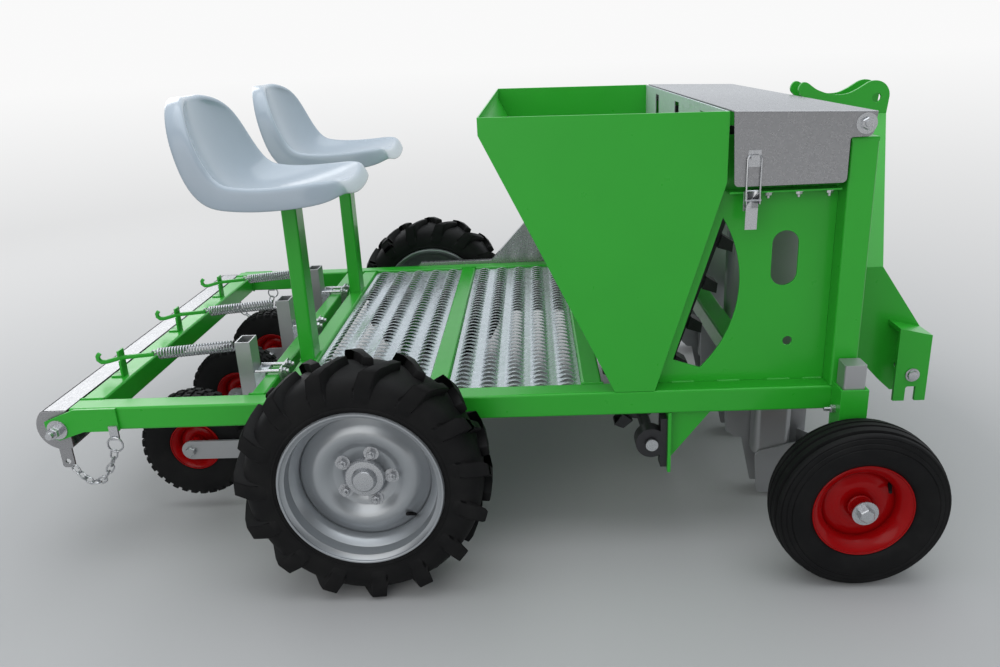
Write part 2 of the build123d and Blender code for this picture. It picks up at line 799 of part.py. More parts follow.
def tyre_section(width, rim_width, bead_radius, flange, crown_radius):
    """Tyre section about the wheel's middle plane, its beads between the rim's flanges."""
    half = width / 2
    bead = rim_width / 2 - rim_sheet - tyre_gap
    lip = bead_radius + flange + tyre_gap
    height = crown_radius - lip
    right_side = [
        (bead, bead_radius), (bead, lip), (half * 0.93, lip + height * 0.1), (half, lip + height * 0.4),
        (half * 0.92, lip + height * 0.82), (half * 0.62, crown_radius - height * 0.04), (0, crown_radius),
    ]
    left_side = [(-across, radius) for across, radius in reversed(right_side[:-1])]
    Polyline(*right_side, *left_side, close=True)


def rim_barrel(half, radius, flange):
    """Outer side of a well rim's section, from its left lip to its right one."""
    return [(-half, radius + flange), (-half + rim_sheet, radius + flange), (-half + rim_sheet, radius),
            (-half * 0.5, radius - well_depth), (half * 0.5, radius - well_depth), (half - rim_sheet, radius),
            (half - rim_sheet, radius + flange), (half, radius + flange)]


def rim_section(width, radius, flange, disc_at, disc, hub_radius, hub_length, bore):
    """Half section of a well rim with a flat disc and a hub that is bored through."""
    half = width / 2
    well = radius - well_depth - rim_well_wall
    near, far = disc_at - disc / 2, disc_at + disc / 2
    Polyline(
        *rim_barrel(half, radius, flange), (half, radius - rim_sheet), (half * 0.55, well), (far, well),
        (far, hub_radius), (hub_length / 2, hub_radius), (hub_length / 2, bore), (-hub_length / 2, bore),
        (-hub_length / 2, hub_radius), (near, hub_radius), (near, well), (-half * 0.55, well),
        (-half, radius - rim_sheet), close=True,
    )


def dished_rim_section(side):
    """Half section of the drive rim: well barrel, pressed disc, and a hub closed by its cap."""
    half = drive_rim_width / 2
    well = drive_rim_radius - well_depth - rim_well_wall
    bore = drive_axle_radius + running
    outer = [(out, share * drive_rim_radius) for out, share in drive_dish]
    inner = [(out - drive_disc, radius) for out, radius in outer]
    hub_face = outer[-1][0] + drive_hub_cap / 4
    drive_hub_bottom = (drive_axle_end + drive_hub_cap) / 2
    points = [
        *rim_barrel(half, drive_rim_radius, drive_rim_flange), (half, drive_rim_radius - rim_sheet),
        (half * 0.55, well), (drive_disc / 2, well), *outer, (outer[-1][0], drive_hub_radius),
        (hub_face, drive_hub_radius), (hub_face, drive_hub_radius * 0.65),
        (drive_hub_cap, drive_hub_radius * 0.55), (drive_hub_cap, 0), (drive_hub_bottom, 0),
        (drive_hub_bottom, bore), (-drive_hub_length * 0.8, bore),
        (-drive_hub_length * 0.8, drive_hub_radius), (inner[-1][0], drive_hub_radius), *reversed(inner),
        (-drive_disc / 2, well), (-half * 0.55, well), (-half, drive_rim_radius - rim_sheet),
    ]
    Polyline(*[(side * along, radius) for along, radius in points], close=True)


drive_carcass = drive_wheel_radius - drive_lug_height
lug_root = drive_carcass - drive_lug_root
lug_bars = []
for hand in (-1, 1):
    with BuildPart() as lug_bar:
        with BuildSketch(Plane.XY.offset(lug_root)):
            with BuildLine():
                shoulder = hand * drive_tyre_width * 0.49
                middle = -hand * drive_lug_overlap
                Polyline((0, middle), (-drive_lug_sweep, shoulder), (drive_lug_foot - drive_lug_sweep, shoulder),
                         (drive_lug_thickness, middle), close=True)
            make_face()
        extrude(amount=drive_wheel_radius - lug_root + drive_lug_overlap)
    lug_bars.append((hand, lug_bar.part))

for side, side_name in [(-1, "right"), (1, "left")]:
    wheel_y = side * drive_wheel_y
    centre = (drive_wheel_x, wheel_y, drive_wheel_radius)
    axle = Axis(centre, (0, 1, 0))
    with BuildPart() as drive_tyre:
        with BuildSketch(wheel_plane(*centre)):
            with BuildLine():
                tyre_section(drive_tyre_width, drive_rim_width, drive_rim_radius + tyre_gap, drive_rim_flange,
                             drive_carcass)
            make_face()
        revolve(axis=axle)
        for hand, lug_bar in lug_bars:
            spins = [(lug + hand / 4) * 360 / drive_lugs for lug in range(drive_lugs)]
            with Locations(*[Location(centre, (0, spin, 0)) for spin in spins]):
                add(lug_bar)
        with BuildSketch(Plane.XZ.offset(-wheel_y)):
            with Locations((drive_wheel_x, drive_wheel_radius)):
                Circle(drive_wheel_radius)
        extrude(amount=drive_tyre_width / 2, both=True, mode=Mode.INTERSECT)
    save(drive_tyre.part, f"drive_tyre_{side_name}")
    with BuildPart() as drive_rim:
        with BuildSketch(wheel_plane(*centre)):
            with BuildLine():
                dished_rim_section(side)
            make_face()
        revolve(axis=axle)
        with BuildSketch(Plane.XZ.offset(-wheel_y - side * drive_dish[-1][0])):
            with Locations((drive_wheel_x, drive_wheel_radius)):
                with PolarLocations(drive_nut_circle, drive_nuts):
                    RegularPolygon(drive_nut_radius, 6)
        extrude(amount=-side * drive_nut_height)
    save(drive_rim.part, f"drive_rim_{side_name}")

# Front depth wheels on telescopic legs
leg_y = frame_half_width + sleeve_wall + leg_fit + leg_tube / 2
with BuildPart() as leg_sleeves:
    with BuildSketch(Plane.XY.offset(sleeve_bottom)):
        with Locations((front_wheel_x, -leg_y)):
            Rectangle(leg_tube + 2 * (sleeve_wall + leg_fit), leg_tube + 2 * (sleeve_wall + leg_fit))
            Rectangle(leg_tube + 2 * leg_fit, leg_tube + 2 * leg_fit, mode=Mode.SUBTRACT)
    extrude(amount=sleeve_top - sleeve_bottom)
    mirror(about=Plane.XZ)
save(leg_sleeves.part, "leg_sleeves")

with BuildPart() as front_legs:
    with BuildSketch(Plane.XY.offset(front_wheel_radius - leg_tube / 2)):
        with Locations((front_wheel_x, -leg_y)):
            RectangleRounded(leg_tube, leg_tube, tube_round)
    extrude(amount=leg_top - front_wheel_radius + leg_tube / 2)
    with BuildSketch(side_plane(leg_y + leg_tube / 2)):
        with Locations((front_wheel_x, front_wheel_radius)):
            Circle(front_axle_radius)
    extrude(amount=front_wheel_y + front_tyre_width / 2 + front_axle_end - leg_y - leg_tube / 2)
    mirror(about=Plane.XZ)
save(front_legs.part, "front_legs")

for side, side_name in [(-1, "right"), (1, "left")]:
    centre = (front_wheel_x, side * front_wheel_y, front_wheel_radius)
    axle = Axis(centre, (0, 1, 0))
    with BuildPart() as front_tyre:
        with BuildSketch(wheel_plane(*centre)):
            with BuildLine():
                tyre_section(front_tyre_width, front_rim_width, front_rim_radius + tyre_gap, front_rim_flange,
                             front_wheel_radius)
            make_face()
        revolve(axis=axle)
        with BuildSketch(wheel_plane(*centre)):
            with Locations((0, front_wheel_radius)):
                with GridLocations(front_groove_pitch, 0, front_grooves, 1):
                    Rectangle(front_groove_width, 2 * front_groove_depth)
        revolve(axis=axle, mode=Mode.SUBTRACT)
    save(front_tyre.part, f"front_tyre_{side_name}")
    with BuildPart() as front_rim:
        with BuildSketch(wheel_plane(*centre)):
            with BuildLine():
                rim_section(front_rim_width, front_rim_radius, front_rim_flange, side * front_disc, front_disc,
                            front_hub_radius, front_hub_length, front_axle_radius + running)
            make_face()
        revolve(axis=axle)
    save(front_rim.part, f"front_rim_{side_name}")

# Press wheels, each on a one-sided arm below a bell-crank post
with BuildPart() as pivot_tube:
    with BuildSketch(Plane.XZ):
        with Locations((pivot_bar_rear + pivot_bar / 2, frame_top - pivot_bar / 2)):
            RectangleRounded(pivot_bar, pivot_bar, tube_round)
    extrude(amount=frame_inner, both=True)
save(pivot_tube.part, "pivot_tube")

post_front = press_post_rear + press_post_length
for row, row_name in zip(rows, row_names):
    arm_y = row - press_arm_side
    with BuildPart() as press_arm:
        with BuildSketch(Plane.XY.offset(press_wheel_z - press_arm_height / 2)):
            with Locations((press_post_rear + press_post_length / 2, arm_y)):
                Rectangle(press_post_length, press_post_width)
                Rectangle(press_post_length - 2 * press_post_wall, press_post_width - 2 * press_post_wall,
                          mode=Mode.SUBTRACT)
        extrude(amount=press_post_top - press_wheel_z + press_arm_height / 2)
        with BuildSketch(side_plane(-arm_y - press_arm_thickness / 2)):
            with Locations(((press_wheel_x + press_post_rear) / 2, press_wheel_z)):
                SlotOverall(press_post_rear - press_wheel_x + press_arm_height, press_arm_height)
            with Locations((press_post_rear + press_arm_height, press_wheel_z)):
                Rectangle(2 * press_arm_height, 2 * press_arm_height, mode=Mode.SUBTRACT)
        extrude(amount=press_arm_thickness)
        with BuildSketch(Plane.YZ.offset(press_post_rear)):
            with Locations((arm_y, spring_front_z)):
                Circle(press_hook_radius)
        extrude(amount=lever_gap - spring_eye)
        with BuildSketch(side_plane(-arm_y + press_arm_thickness / 2 + press_axle_end)):
            with Locations((press_wheel_x, press_wheel_z)):
                Circle(press_axle_radius)
        extrude(amount=-(press_arm_side + press_tyre_width / 2 + press_arm_thickness / 2 + press_axle_end))
    save(press_arm.part, f"press_arm_{row_name}")
    centre = (press_wheel_x, row, press_wheel_z)
    axle = Axis(centre, (0, 1, 0))
    with BuildPart() as press_tyre:
        with BuildSketch(wheel_plane(*centre)):
            with BuildLine():
                tyre_section(press_tyre_width, press_rim_width, press_rim_radius + tyre_gap, press_rim_flange,
                             press_wheel_radius)
            make_face()
        revolve(axis=axle)
    save(press_tyre.part, f"press_tyre_{row_name}")
    with BuildPart() as press_rim:
        with BuildSketch(wheel_plane(*centre)):
            with BuildLine():
                rim_section(press_rim_width, press_rim_radius, press_rim_flange, 0, press_disc,
                            press_hub_radius, press_hub_length, press_axle_radius + running)
            make_face()
        revolve(axis=axle)
    save(press_rim.part, f"press_rim_{row_name}")

# Clamps that hang the press-wheel posts on the pivot tube
with BuildPart() as press_clamps:
    for row in rows:
        arm_y = row - press_arm_side
        with BuildSketch(side_plane(-arm_y)):
            with Locations(((post_front + pivot_bar_rear) / 2, frame_top - pivot_bar / 2)):
                Rectangle(pivot_bar_rear - post_front, press_clamp_height)
        extrude(amount=press_post_width / 2, both=True)
save(press_clamps.part, "press_clamps")

# Tension springs, wound turn against turn, from the posts back to the notched levers
spring_front_x = press_post_rear - spring_eye
spring_length = math.hypot(spring_front_x - spring_rear_x, spring_front_z - spring_rear_z)
coil_pitch = spring_length / spring_turns
coil_root = spring_radius - spring_wire
with BuildPart() as springs:
    for row in rows:
        spring_rear = (spring_rear_x, row - press_arm_side, spring_rear_z)
        spring_way = (spring_front_x - spring_rear_x, 0, spring_front_z - spring_rear_z)
        with BuildSketch(Plane(origin=spring_rear, x_dir=spring_way, z_dir=(0, -1, 0))):
            with BuildLine():
                for turn in range(spring_turns):
                    start = turn * coil_pitch
                    ThreePointArc((start, coil_root), (start + coil_pitch / 2, spring_radius),
                                  (start + coil_pitch, coil_root))
                Polyline((spring_length, coil_root), (spring_length, 0), (0, 0), (0, coil_root))
            make_face()
        revolve(axis=Axis(spring_rear, spring_way))
save(springs.part, "springs")

lever_front = spring_rear_x - lever_gap
lever_half = lever_width / 2
with BuildPart() as spring_levers:
    for row in rows:
        with BuildSketch(side_plane(-row + press_arm_side - lever_thickness / 2)):
            with BuildLine():
                Polyline((lever_front, spring_rear_z - lever_half), (lever_rear_x, spring_rear_z - lever_half),
                         (lever_rear_x - lever_tip * 0.4, spring_rear_z + lever_width),
                         (lever_rear_x + lever_tip * 0.6, spring_rear_z + lever_width),
                         (lever_rear_x + lever_tip * 0.9, spring_rear_z + lever_half),
                         (lever_front, spring_rear_z + lever_half), close=True)
            make_face()
        extrude(amount=lever_thickness)
save(spring_levers.part, "spring_levers")

with BuildPart() as lever_brackets:
    for row in rows:
        with BuildSketch(Plane.XY.offset(frame_top)):
            with Locations((lever_bracket_x, row - press_arm_side)):
                Rectangle(bracket_thickness, bracket_width)
        extrude(amount=spring_rear_z + lever_width - frame_top)
        with BuildSketch(Plane.XY.offset(spring_rear_z - lever_width / 2)):
            with Locations((lever_bracket_x, row - press_arm_side)):
                Rectangle(2 * bracket_thickness, lever_thickness + 2 * notch_play)
        extrude(amount=lever_width, mode=Mode.SUBTRACT)
save(lever_brackets.part, "lever_brackets")

# Chain guard outside the left beam, from the drive axle up past the hopper
with BuildPart() as chain_guard:
    with BuildSketch(side_plane(-frame_half_width)):
        with BuildLine():
            guard_rear = drive_wheel_x - guard_margin
            Polyline((guard_rear, drive_wheel_radius - guard_margin * 0.65),
                     (guard_rear, drive_wheel_radius + guard_margin * 1.5),
                     (drive_wheel_x - guard_margin / 2, guard_bends[0][1]), *guard_bends,
                     (guard_top[0] - guard_margin, guard_top[1] + guard_margin),
                     (guard_top[0] + guard_margin, guard_top[1] + guard_margin),
                     (guard_top[0] + guard_margin * 1.8, guard_top[1]),
                     (lower_shaft[0] + guard_margin, lower_shaft[1] - guard_margin * 0.7),
                     (lower_shaft[0] + guard_margin / 3, lower_shaft[1] - guard_margin), close=True)
        make_face()
        with Locations((drive_wheel_x, drive_wheel_radius)):
            Circle(drive_axle_radius + guard_hole_play, mode=Mode.SUBTRACT)
        with Locations(lower_shaft):
            Circle(shaft_radius + guard_hole_play, mode=Mode.SUBTRACT)
    extrude(amount=-guard_depth)
save(chain_guard.part, "chain_guard")

# Three-point hitch: bent mast plates, top-link plates and lower-link clevises
mast_top_y = top_link_gap / 2
mast_knee_x = frame_front + mast_knee_share * (hitch_front - frame_front)
mast_toe_z = lower_pin[1] - mast_toe
with BuildPart() as mast:
    with BuildSketch(side_plane(mast_y)):
        with BuildLine():
            Polyline((frame_front, frame_bottom), (frame_front, mast_arm_bottom), (mast_knee_x, mast_arm_bottom),
                     (hitch_front, lower_pin[1] + mast_brow), (hitch_front, mast_toe_z + lower_pin_setback / 2),
                     (hitch_front - lower_pin_setback / 2, mast_toe_z),
                     (lower_pin[0] - lower_pin_setback / 2, mast_toe_z),
                     (lower_pin[0] - lower_pin_setback * 1.3, mast_toe_z + lower_pin_setback * 0.75),
                     (lower_pin[0] - lower_pin_setback * 2.3, frame_bottom), close=True)
        make_face()
        with Locations(lower_pin):
            Circle(lower_pin_hole_radius, mode=Mode.SUBTRACT)
    extrude(amount=mast_plate)
    mirror(about=Plane.XZ)
save(mast.part, "mast")

arm_foot_x = mast_knee_x - mast_arm_width / 2
arm_head_x = top_link[0] - mast_arm_width / 4
with BuildPart() as mast_arms:
    with BuildSketch(Plane.XY.offset(mast_arm_bottom)):
        with Locations((arm_foot_x, -mast_y - mast_plate / 2)):
            Rectangle(mast_arm_width, mast_plate)
    with BuildSketch(Plane.XY.offset(mast_arm_top)):
        with Locations((arm_head_x, -mast_top_y - mast_plate / 2)):
            Rectangle(mast_arm_width, mast_plate)
    loft(ruled=True)
    mirror(about=Plane.XZ)
save(mast_arms.part, "mast_arms")

with BuildPart() as mast_heads:
    with BuildSketch(side_plane(mast_top_y)):
        with BuildLine():
            head_top = top_link[1] + top_link_radius
            head_foot = Polyline((frame_front, upper_beam_bottom), (frame_front, upper_beam_bottom + tube),
                                 (arm_head_x - mast_arm_width * 0.62, top_link[1] - top_link_radius * 0.2))
            hook = Spline(head_foot @ 1, (frame_front + head_hook * 1.4, top_link[1] + head_hook * 0.2),
                          (frame_front + head_hook * 0.6, top_link[1] + head_hook * 1.3))
            hook_end = Line(hook @ 1, (frame_front + head_hook * 1.2, top_link[1] + head_hook * 1.4))
            back = Spline(hook_end @ 1, (arm_head_x - mast_arm_width * 0.85, top_link[1] + head_hook * 0.95),
                          (top_link[0], head_top))
            ThreePointArc(back @ 1, (hitch_front, top_link[1]), (top_link[0], top_link[1] - top_link_radius))
            Polyline((top_link[0], top_link[1] - top_link_radius), (arm_head_x + mast_arm_width / 2, mast_arm_top),
                     (arm_head_x - mast_arm_width / 2, mast_arm_top), head_foot @ 0)
        make_face()
        with Locations(top_link):
            Circle(top_link_hole_radius, mode=Mode.SUBTRACT)
    extrude(amount=mast_plate)
    mirror(about=Plane.XZ)
save(mast_heads.part, "mast_heads")

with BuildPart() as lower_clevises:
    clevis_inner = mast_y + mast_plate
    clevis_rear = hitch_front - clevis_length
    clevis_top = lower_pin[1] + mast_brow
    slot_rear = lower_pin[0] - clevis_slot / 2
    slot_front = lower_pin[0] + clevis_slot / 2
    roof_rear = clevis_top + clevis_length / 4
    with BuildSketch(side_plane(clevis_inner + clevis_gap)):
        with BuildLine():
            Polyline((clevis_rear, roof_rear), (hitch_front, clevis_top), (hitch_front, mast_toe_z),
                     (slot_front, mast_toe_z), (slot_front, mast_toe_z + clevis_slot_depth),
                     (slot_rear, mast_toe_z + clevis_slot_depth), (slot_rear, mast_toe_z),
                     (clevis_rear, mast_toe_z), close=True)
        make_face()
        with Locations(lower_pin):
            Circle(lower_pin_hole_radius, mode=Mode.SUBTRACT)
    extrude(amount=clevis_plate)
    with BuildSketch(side_plane(clevis_inner)):
        with BuildLine():
            Polyline((clevis_rear, roof_rear), (hitch_front, clevis_top), (hitch_front, clevis_top - clevis_roof),
                     (clevis_rear, roof_rear - clevis_roof), close=True)
        make_face()
    extrude(amount=clevis_gap)
    mirror(about=Plane.XZ)
save(lower_clevises.part, "lower_clevises")

# Rear end plates carry the levelling board's bolts
with BuildPart() as rear_end_plates:
    with BuildSketch(side_plane(frame_half_width)):
        with BuildLine():
            plate_rear = board_pivot[0] - end_plate_round
            Polyline((frame_rear + end_plate_length, frame_bottom), (frame_rear + end_plate_length, frame_top),
                     (frame_rear + end_plate_round / 2, frame_top),
                     (plate_rear, board_pivot[1] + end_plate_round * 0.7),
                     (plate_rear + end_plate_round * 0.1, board_pivot[1] - end_plate_round * 0.7),
                     (board_pivot[0], board_pivot[1] - end_plate_round),
                     (frame_rear + end_plate_round, frame_bottom), close=True)
        make_face()
    extrude(amount=end_plate)
    with BuildSketch(side_plane(board_half_length - 2 * board_end_plate)):
        with Locations(board_pivot):
            Circle(board_bolt_radius)
    extrude(amount=frame_half_width + end_plate + board_bolt_end - board_half_length + 2 * board_end_plate)
    mirror(about=Plane.XZ)
save(rear_end_plates.part, "rear_end_plates")

# Levelling board: rounded trough that hangs on the two bolts
board_top = board_pivot[1] + board_rise
board_front = frame_rear - board_mouth
cut = 4 * board_radius
with BuildPart() as levelling_board:
    with BuildSketch(Plane.XZ):
        with Locations(board_pivot):
            Circle(board_radius)
            Circle(board_radius - board_sheet, mode=Mode.SUBTRACT)
        with Locations((board_front + cut / 2, board_pivot[1])):
            Rectangle(cut, cut, mode=Mode.SUBTRACT)
        with Locations((board_pivot[0], board_top + cut / 2)):
            Rectangle(cut, cut, mode=Mode.SUBTRACT)
    extrude(amount=board_half_length, both=True)
    with BuildSketch(side_plane(board_half_length - board_end_plate)):
        with Locations(board_pivot):
            Circle(board_radius)
        with Locations((board_front + cut / 2, board_pivot[1])):
            Rectangle(cut, cut, mode=Mode.SUBTRACT)
        with Locations((board_pivot[0], board_top + cut / 2)):
            Rectangle(cut, cut, mode=Mode.SUBTRACT)
        with Locations((board_pivot[0], board_pivot[1] - board_tab_drop)):
            RectangleRounded(board_tab_width, board_tab_length, board_tab_width / 4)
        with Locations((board_pivot[0], board_pivot[1] - board_tab_drop - board_tab_width / 2)):
            Circle(board_tab_hole, mode=Mode.SUBTRACT)
        with Locations(board_pivot):
            Circle(board_bolt_radius + running, mode=Mode.SUBTRACT)
    extrude(amount=board_end_plate)
    mirror(about=Plane.XZ)
save(levelling_board.part, "levelling_board")
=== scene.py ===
import bmesh
import bpy
import math
import mathutils.geometry
from mathutils import Matrix, Vector


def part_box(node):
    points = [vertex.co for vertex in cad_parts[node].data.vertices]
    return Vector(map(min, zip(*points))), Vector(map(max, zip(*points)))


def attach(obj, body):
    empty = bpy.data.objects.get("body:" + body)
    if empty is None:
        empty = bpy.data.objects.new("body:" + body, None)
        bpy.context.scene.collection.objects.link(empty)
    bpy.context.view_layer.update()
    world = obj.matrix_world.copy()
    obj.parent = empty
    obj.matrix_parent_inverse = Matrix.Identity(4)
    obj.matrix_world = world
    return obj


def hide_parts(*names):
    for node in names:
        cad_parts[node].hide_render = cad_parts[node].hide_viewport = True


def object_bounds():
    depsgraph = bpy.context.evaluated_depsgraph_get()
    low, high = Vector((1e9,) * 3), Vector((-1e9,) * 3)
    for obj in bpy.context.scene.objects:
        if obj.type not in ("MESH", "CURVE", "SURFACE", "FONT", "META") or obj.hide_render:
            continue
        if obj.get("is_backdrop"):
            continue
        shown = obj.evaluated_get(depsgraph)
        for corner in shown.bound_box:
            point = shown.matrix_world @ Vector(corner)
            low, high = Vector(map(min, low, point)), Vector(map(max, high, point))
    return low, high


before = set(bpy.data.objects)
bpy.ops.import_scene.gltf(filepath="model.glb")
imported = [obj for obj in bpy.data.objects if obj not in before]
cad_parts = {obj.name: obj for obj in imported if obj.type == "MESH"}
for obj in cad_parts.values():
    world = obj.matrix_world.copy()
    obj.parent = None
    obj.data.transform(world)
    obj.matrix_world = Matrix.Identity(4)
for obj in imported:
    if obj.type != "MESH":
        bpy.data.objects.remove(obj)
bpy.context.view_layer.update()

# Main frame: square steel tube, cut and welded, then sprayed with gloss green enamel.
# The long side beams carry everything else; the rear beam, cross tubes and pivot tube tie them.
# Two coats leave a fine orange peel and slightly thinner paint along the edges, painted paler there as an edge
# highlight.


def new_group(name, inputs, outputs):
    """Empty shader node group with named sockets; returns the group and its two end nodes."""
    group = bpy.data.node_groups.new(name, "ShaderNodeTree")
    for socket, kind, default in inputs:
        made = group.interface.new_socket(socket, in_out="INPUT", socket_type=kind)
        made.default_value = default
    for socket, kind in outputs:
        group.interface.new_socket(socket, in_out="OUTPUT", socket_type=kind)
    return group, group.nodes.new("NodeGroupInput"), group.nodes.new("NodeGroupOutput")


def add_node(tree, kind, **values):
    """New node; values set its properties by name, or its inputs where the name starts with in_."""
    node = tree.nodes.new(kind)
    for name, value in values.items():
        if name.startswith("in_"):
            node.inputs[name[3:].replace("_", " ")].default_value = value
        else:
            setattr(node, name, value)
    return node


def math_node(tree, operation, first, second=None, third=None):
    """Math node whose inputs are numbers or other nodes' outputs."""
    node = add_node(tree, "ShaderNodeMath", operation=operation)
    for socket, value in zip(node.inputs, (first, second, third)):
        if isinstance(value, (int, float)):
            socket.default_value = value
        elif value is not None:
            tree.links.new(value, socket)
    return node.outputs[0]


def coat_group():
    """Sprayed coat: cloudy colour change, thin edges painted paler as a highlight, and the height of its orange peel.
    """
    group, start, end = new_group(
        "sprayed_coat",
        [("Colour", "NodeSocketColor", (0.5, 0.5, 0.5, 1)), ("Edge Highlight Colour", "NodeSocketColor", (1, 1, 1, 1)),
         ("Cloud", "NodeSocketFloat", 0.10), ("Edge", "NodeSocketFloat", 0.25),
         ("Roughness", "NodeSocketFloat", 0.3)],
        [("Colour", "NodeSocketColor"), ("Roughness", "NodeSocketFloat"), ("Height", "NodeSocketFloat")],
    )
    link = group.links.new
    place = add_node(group, "ShaderNodeTexCoord")
    cloud = add_node(group, "ShaderNodeTexNoise", in_Scale=7.0, in_Detail=3.0)
    peel = add_node(group, "ShaderNodeTexNoise", in_Scale=420.0, in_Detail=1.0)
    smear = add_node(group, "ShaderNodeTexNoise", in_Scale=38.0, in_Detail=4.0)
    for texture in (cloud, peel, smear):
        link(place.outputs["Object"], texture.inputs["Vector"])
    centred = math_node(group, "SUBTRACT", cloud.outputs["Fac"], 0.5)
    shade = add_node(group, "ShaderNodeHueSaturation")
    link(start.outputs["Colour"], shade.inputs["Color"])
    link(math_node(group, "MULTIPLY_ADD", centred, start.outputs["Cloud"], 1.0), shade.inputs["Value"])
    # The bevel normal finds the edges; the paler edge colour mixed in there is a painted highlight.
    rounded = add_node(group, "ShaderNodeBevel", samples=4, in_Radius=0.0022)
    flat = add_node(group, "ShaderNodeNewGeometry")
    facing = add_node(group, "ShaderNodeVectorMath", operation="DOT_PRODUCT")
    link(rounded.outputs["Normal"], facing.inputs[0])
    link(flat.outputs["Normal"], facing.inputs[1])
    edge = add_node(group, "ShaderNodeMapRange", in_From_Min=0.995, in_From_Max=0.90)
    link(facing.outputs["Value"], edge.inputs["Value"])
    edge_highlight_mix = add_node(group, "ShaderNodeMix", data_type="RGBA")
    link(math_node(group, "MULTIPLY", edge.outputs["Result"], start.outputs["Edge"]), edge_highlight_mix.inputs["Factor"])
    link(shade.outputs["Color"], edge_highlight_mix.inputs["A"])
    link(start.outputs["Edge Highlight Colour"], edge_highlight_mix.inputs["B"])
    link(edge_highlight_mix.outputs["Result"], end.inputs["Colour"])
    link(math_node(group, "MULTIPLY_ADD", smear.outputs["Fac"], 0.12, start.outputs["Roughness"]),
         end.inputs["Roughness"])
    link(peel.outputs["Fac"], end.inputs["Height"])
    return group


sprayed_coat = coat_group()


def bare_material(name):
    """Material with one Principled shader; returns the material, its tree and the shader."""
    material = bpy.data.materials.new(name)
    material.use_nodes = True
    tree = material.node_tree
    return material, tree, tree.nodes["Principled BSDF"]


def bump_from(tree, height, shader, distance, strength):
    """Fine relief on the shader from a height."""
    bump = add_node(tree, "ShaderNodeBump", in_Distance=distance, in_Strength=strength)
    tree.links.new(height, bump.inputs["Height"])
    tree.links.new(bump.outputs["Normal"], shader.inputs["Normal"])


def enamel(name, colour, edge_highlight_colour, roughness=0.24, coat=0.12, metallic=0.0, edge=0.3, peel=0.00006,
           gloss=0.35):
    """Gloss enamel on steel: the sprayed coat under a clear, hard surface."""
    material, tree, shader = bare_material(name)
    group = add_node(tree, "ShaderNodeGroup", node_tree=sprayed_coat)
    group.inputs["Colour"].default_value = (*colour, 1)
    # The edge colour is a paler painted highlight along the edges.
    group.inputs["Edge Highlight Colour"].default_value = (*edge_highlight_colour, 1)
    group.inputs["Edge"].default_value = edge
    group.inputs["Roughness"].default_value = roughness
    tree.links.new(group.outputs["Colour"], shader.inputs["Base Color"])
    tree.links.new(group.outputs["Roughness"], shader.inputs["Roughness"])
    shader.inputs["Metallic"].default_value = metallic
    shader.inputs["Specular IOR Level"].default_value = gloss
    shader.inputs["Coat Weight"].default_value = coat
    shader.inputs["Coat Roughness"].default_value = 0.12
    bump_from(tree, group.outputs["Height"], shader, peel, 0.5)
    return material


green_enamel = enamel("green_enamel", (0.024, 0.372, 0.024), (0.08, 0.52, 0.10))


def dress(names, material, bevel=0.0009, smooth=math.radians(32)):
    """Finish for CAD pieces: their material, softly broken edges and smooth round faces."""
    for name in names:
        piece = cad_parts[name]
        piece.data.materials.clear()
        piece.data.materials.append(material)
        piece.data.shade_smooth()
        weld = piece.modifiers.new("joined_triangles", "WELD")
        weld.merge_threshold = 0.00002
        flat = piece.modifiers.new("flat_faces", "DECIMATE")
        flat.decimate_type = "DISSOLVE"
        flat.angle_limit = math.radians(0.4)
        if bevel:
            broken = piece.modifiers.new("broken_edges", "BEVEL")
            broken.width = bevel
            broken.segments = 2
            broken.limit_method = "ANGLE"
            broken.angle_limit = smooth
            even = piece.modifiers.new("flat_shading", "WEIGHTED_NORMAL")
            even.weight = 100
        else:
            split = piece.modifiers.new("hard_edges", "EDGE_SPLIT")
            split.split_angle = smooth


dress(["side_beams", "rear_beam", "cross_tubes", "pivot_tube", "drive_axle", "axle_hangers", "seat_posts"],
      green_enamel)


def make_piece(bm, name, material, body, smooth=math.radians(35)):
    """Turns a finished bmesh into a piece of the machine that rides on one of its bodies."""
    bmesh.ops.recalc_face_normals(bm, faces=bm.faces)
    for face in bm.faces:
        face.smooth = True
    for edge in bm.edges:
        edge.smooth = edge.calc_face_angle(0.0) < smooth
    mesh = bpy.data.meshes.new(name)
    bm.to_mesh(mesh)
    bm.free()
    mesh.materials.append(material)
    piece = bpy.data.objects.new(name, mesh)
    bpy.context.scene.collection.objects.link(piece)
    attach(piece, body)
    return piece


def pointing(place, along):
    """Matrix that puts a shape's +Z along a direction, at a place."""
    return Matrix.Translation(place) @ Vector(along).to_track_quat("Z", "Y").to_matrix().to_4x4()


def weld_bead(bm, start, end, size=0.0035):
    """Row of overlapping drops of weld metal from start to end."""
    start, end = Vector(start), Vector(end)
    drops = max(2, round((end - start).length / (size * 1.1)))
    for drop in range(drops + 1):
        place = Matrix.Translation(start.lerp(end, drop / drops))
        bmesh.ops.create_uvsphere(bm, u_segments=8, v_segments=5, radius=size, matrix=place)


beam_low, beam_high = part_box("side_beams")
beam_inner = beam_high.y - (beam_high.z - beam_low.z)
bm = bmesh.new()
for cross_name in ("rear_beam", "pivot_tube"):
    low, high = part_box(cross_name)
    for side in (-1, 1):
        weld_bead(bm, (low.x, side * beam_inner, high.z), (high.x, side * beam_inner, high.z))
        weld_bead(bm, (low.x, side * beam_inner, low.z), (low.x, side * beam_inner, high.z))
        weld_bead(bm, (high.x, side * beam_inner, low.z), (high.x, side * beam_inner, high.z))
cross_tube = 0.050
cross_rear_faces = (-0.535, -0.155, 0.230)
for rear_face in cross_rear_faces:
    for side in (-1, 1):
        weld_bead(bm, (rear_face, side * beam_inner, beam_high.z),
                  (rear_face + cross_tube, side * beam_inner, beam_high.z))
post_low, post_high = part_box("seat_posts")
post_half_width = 0.035
seat_y = post_high.y - post_half_width
for side in (-1, 1):
    for x in (post_low.x, post_high.x):
        weld_bead(bm, (x, side * seat_y - post_half_width, post_low.z),
                  (x, side * seat_y + post_half_width, post_low.z))
make_piece(bm, "frame_welds", green_enamel, "frame")

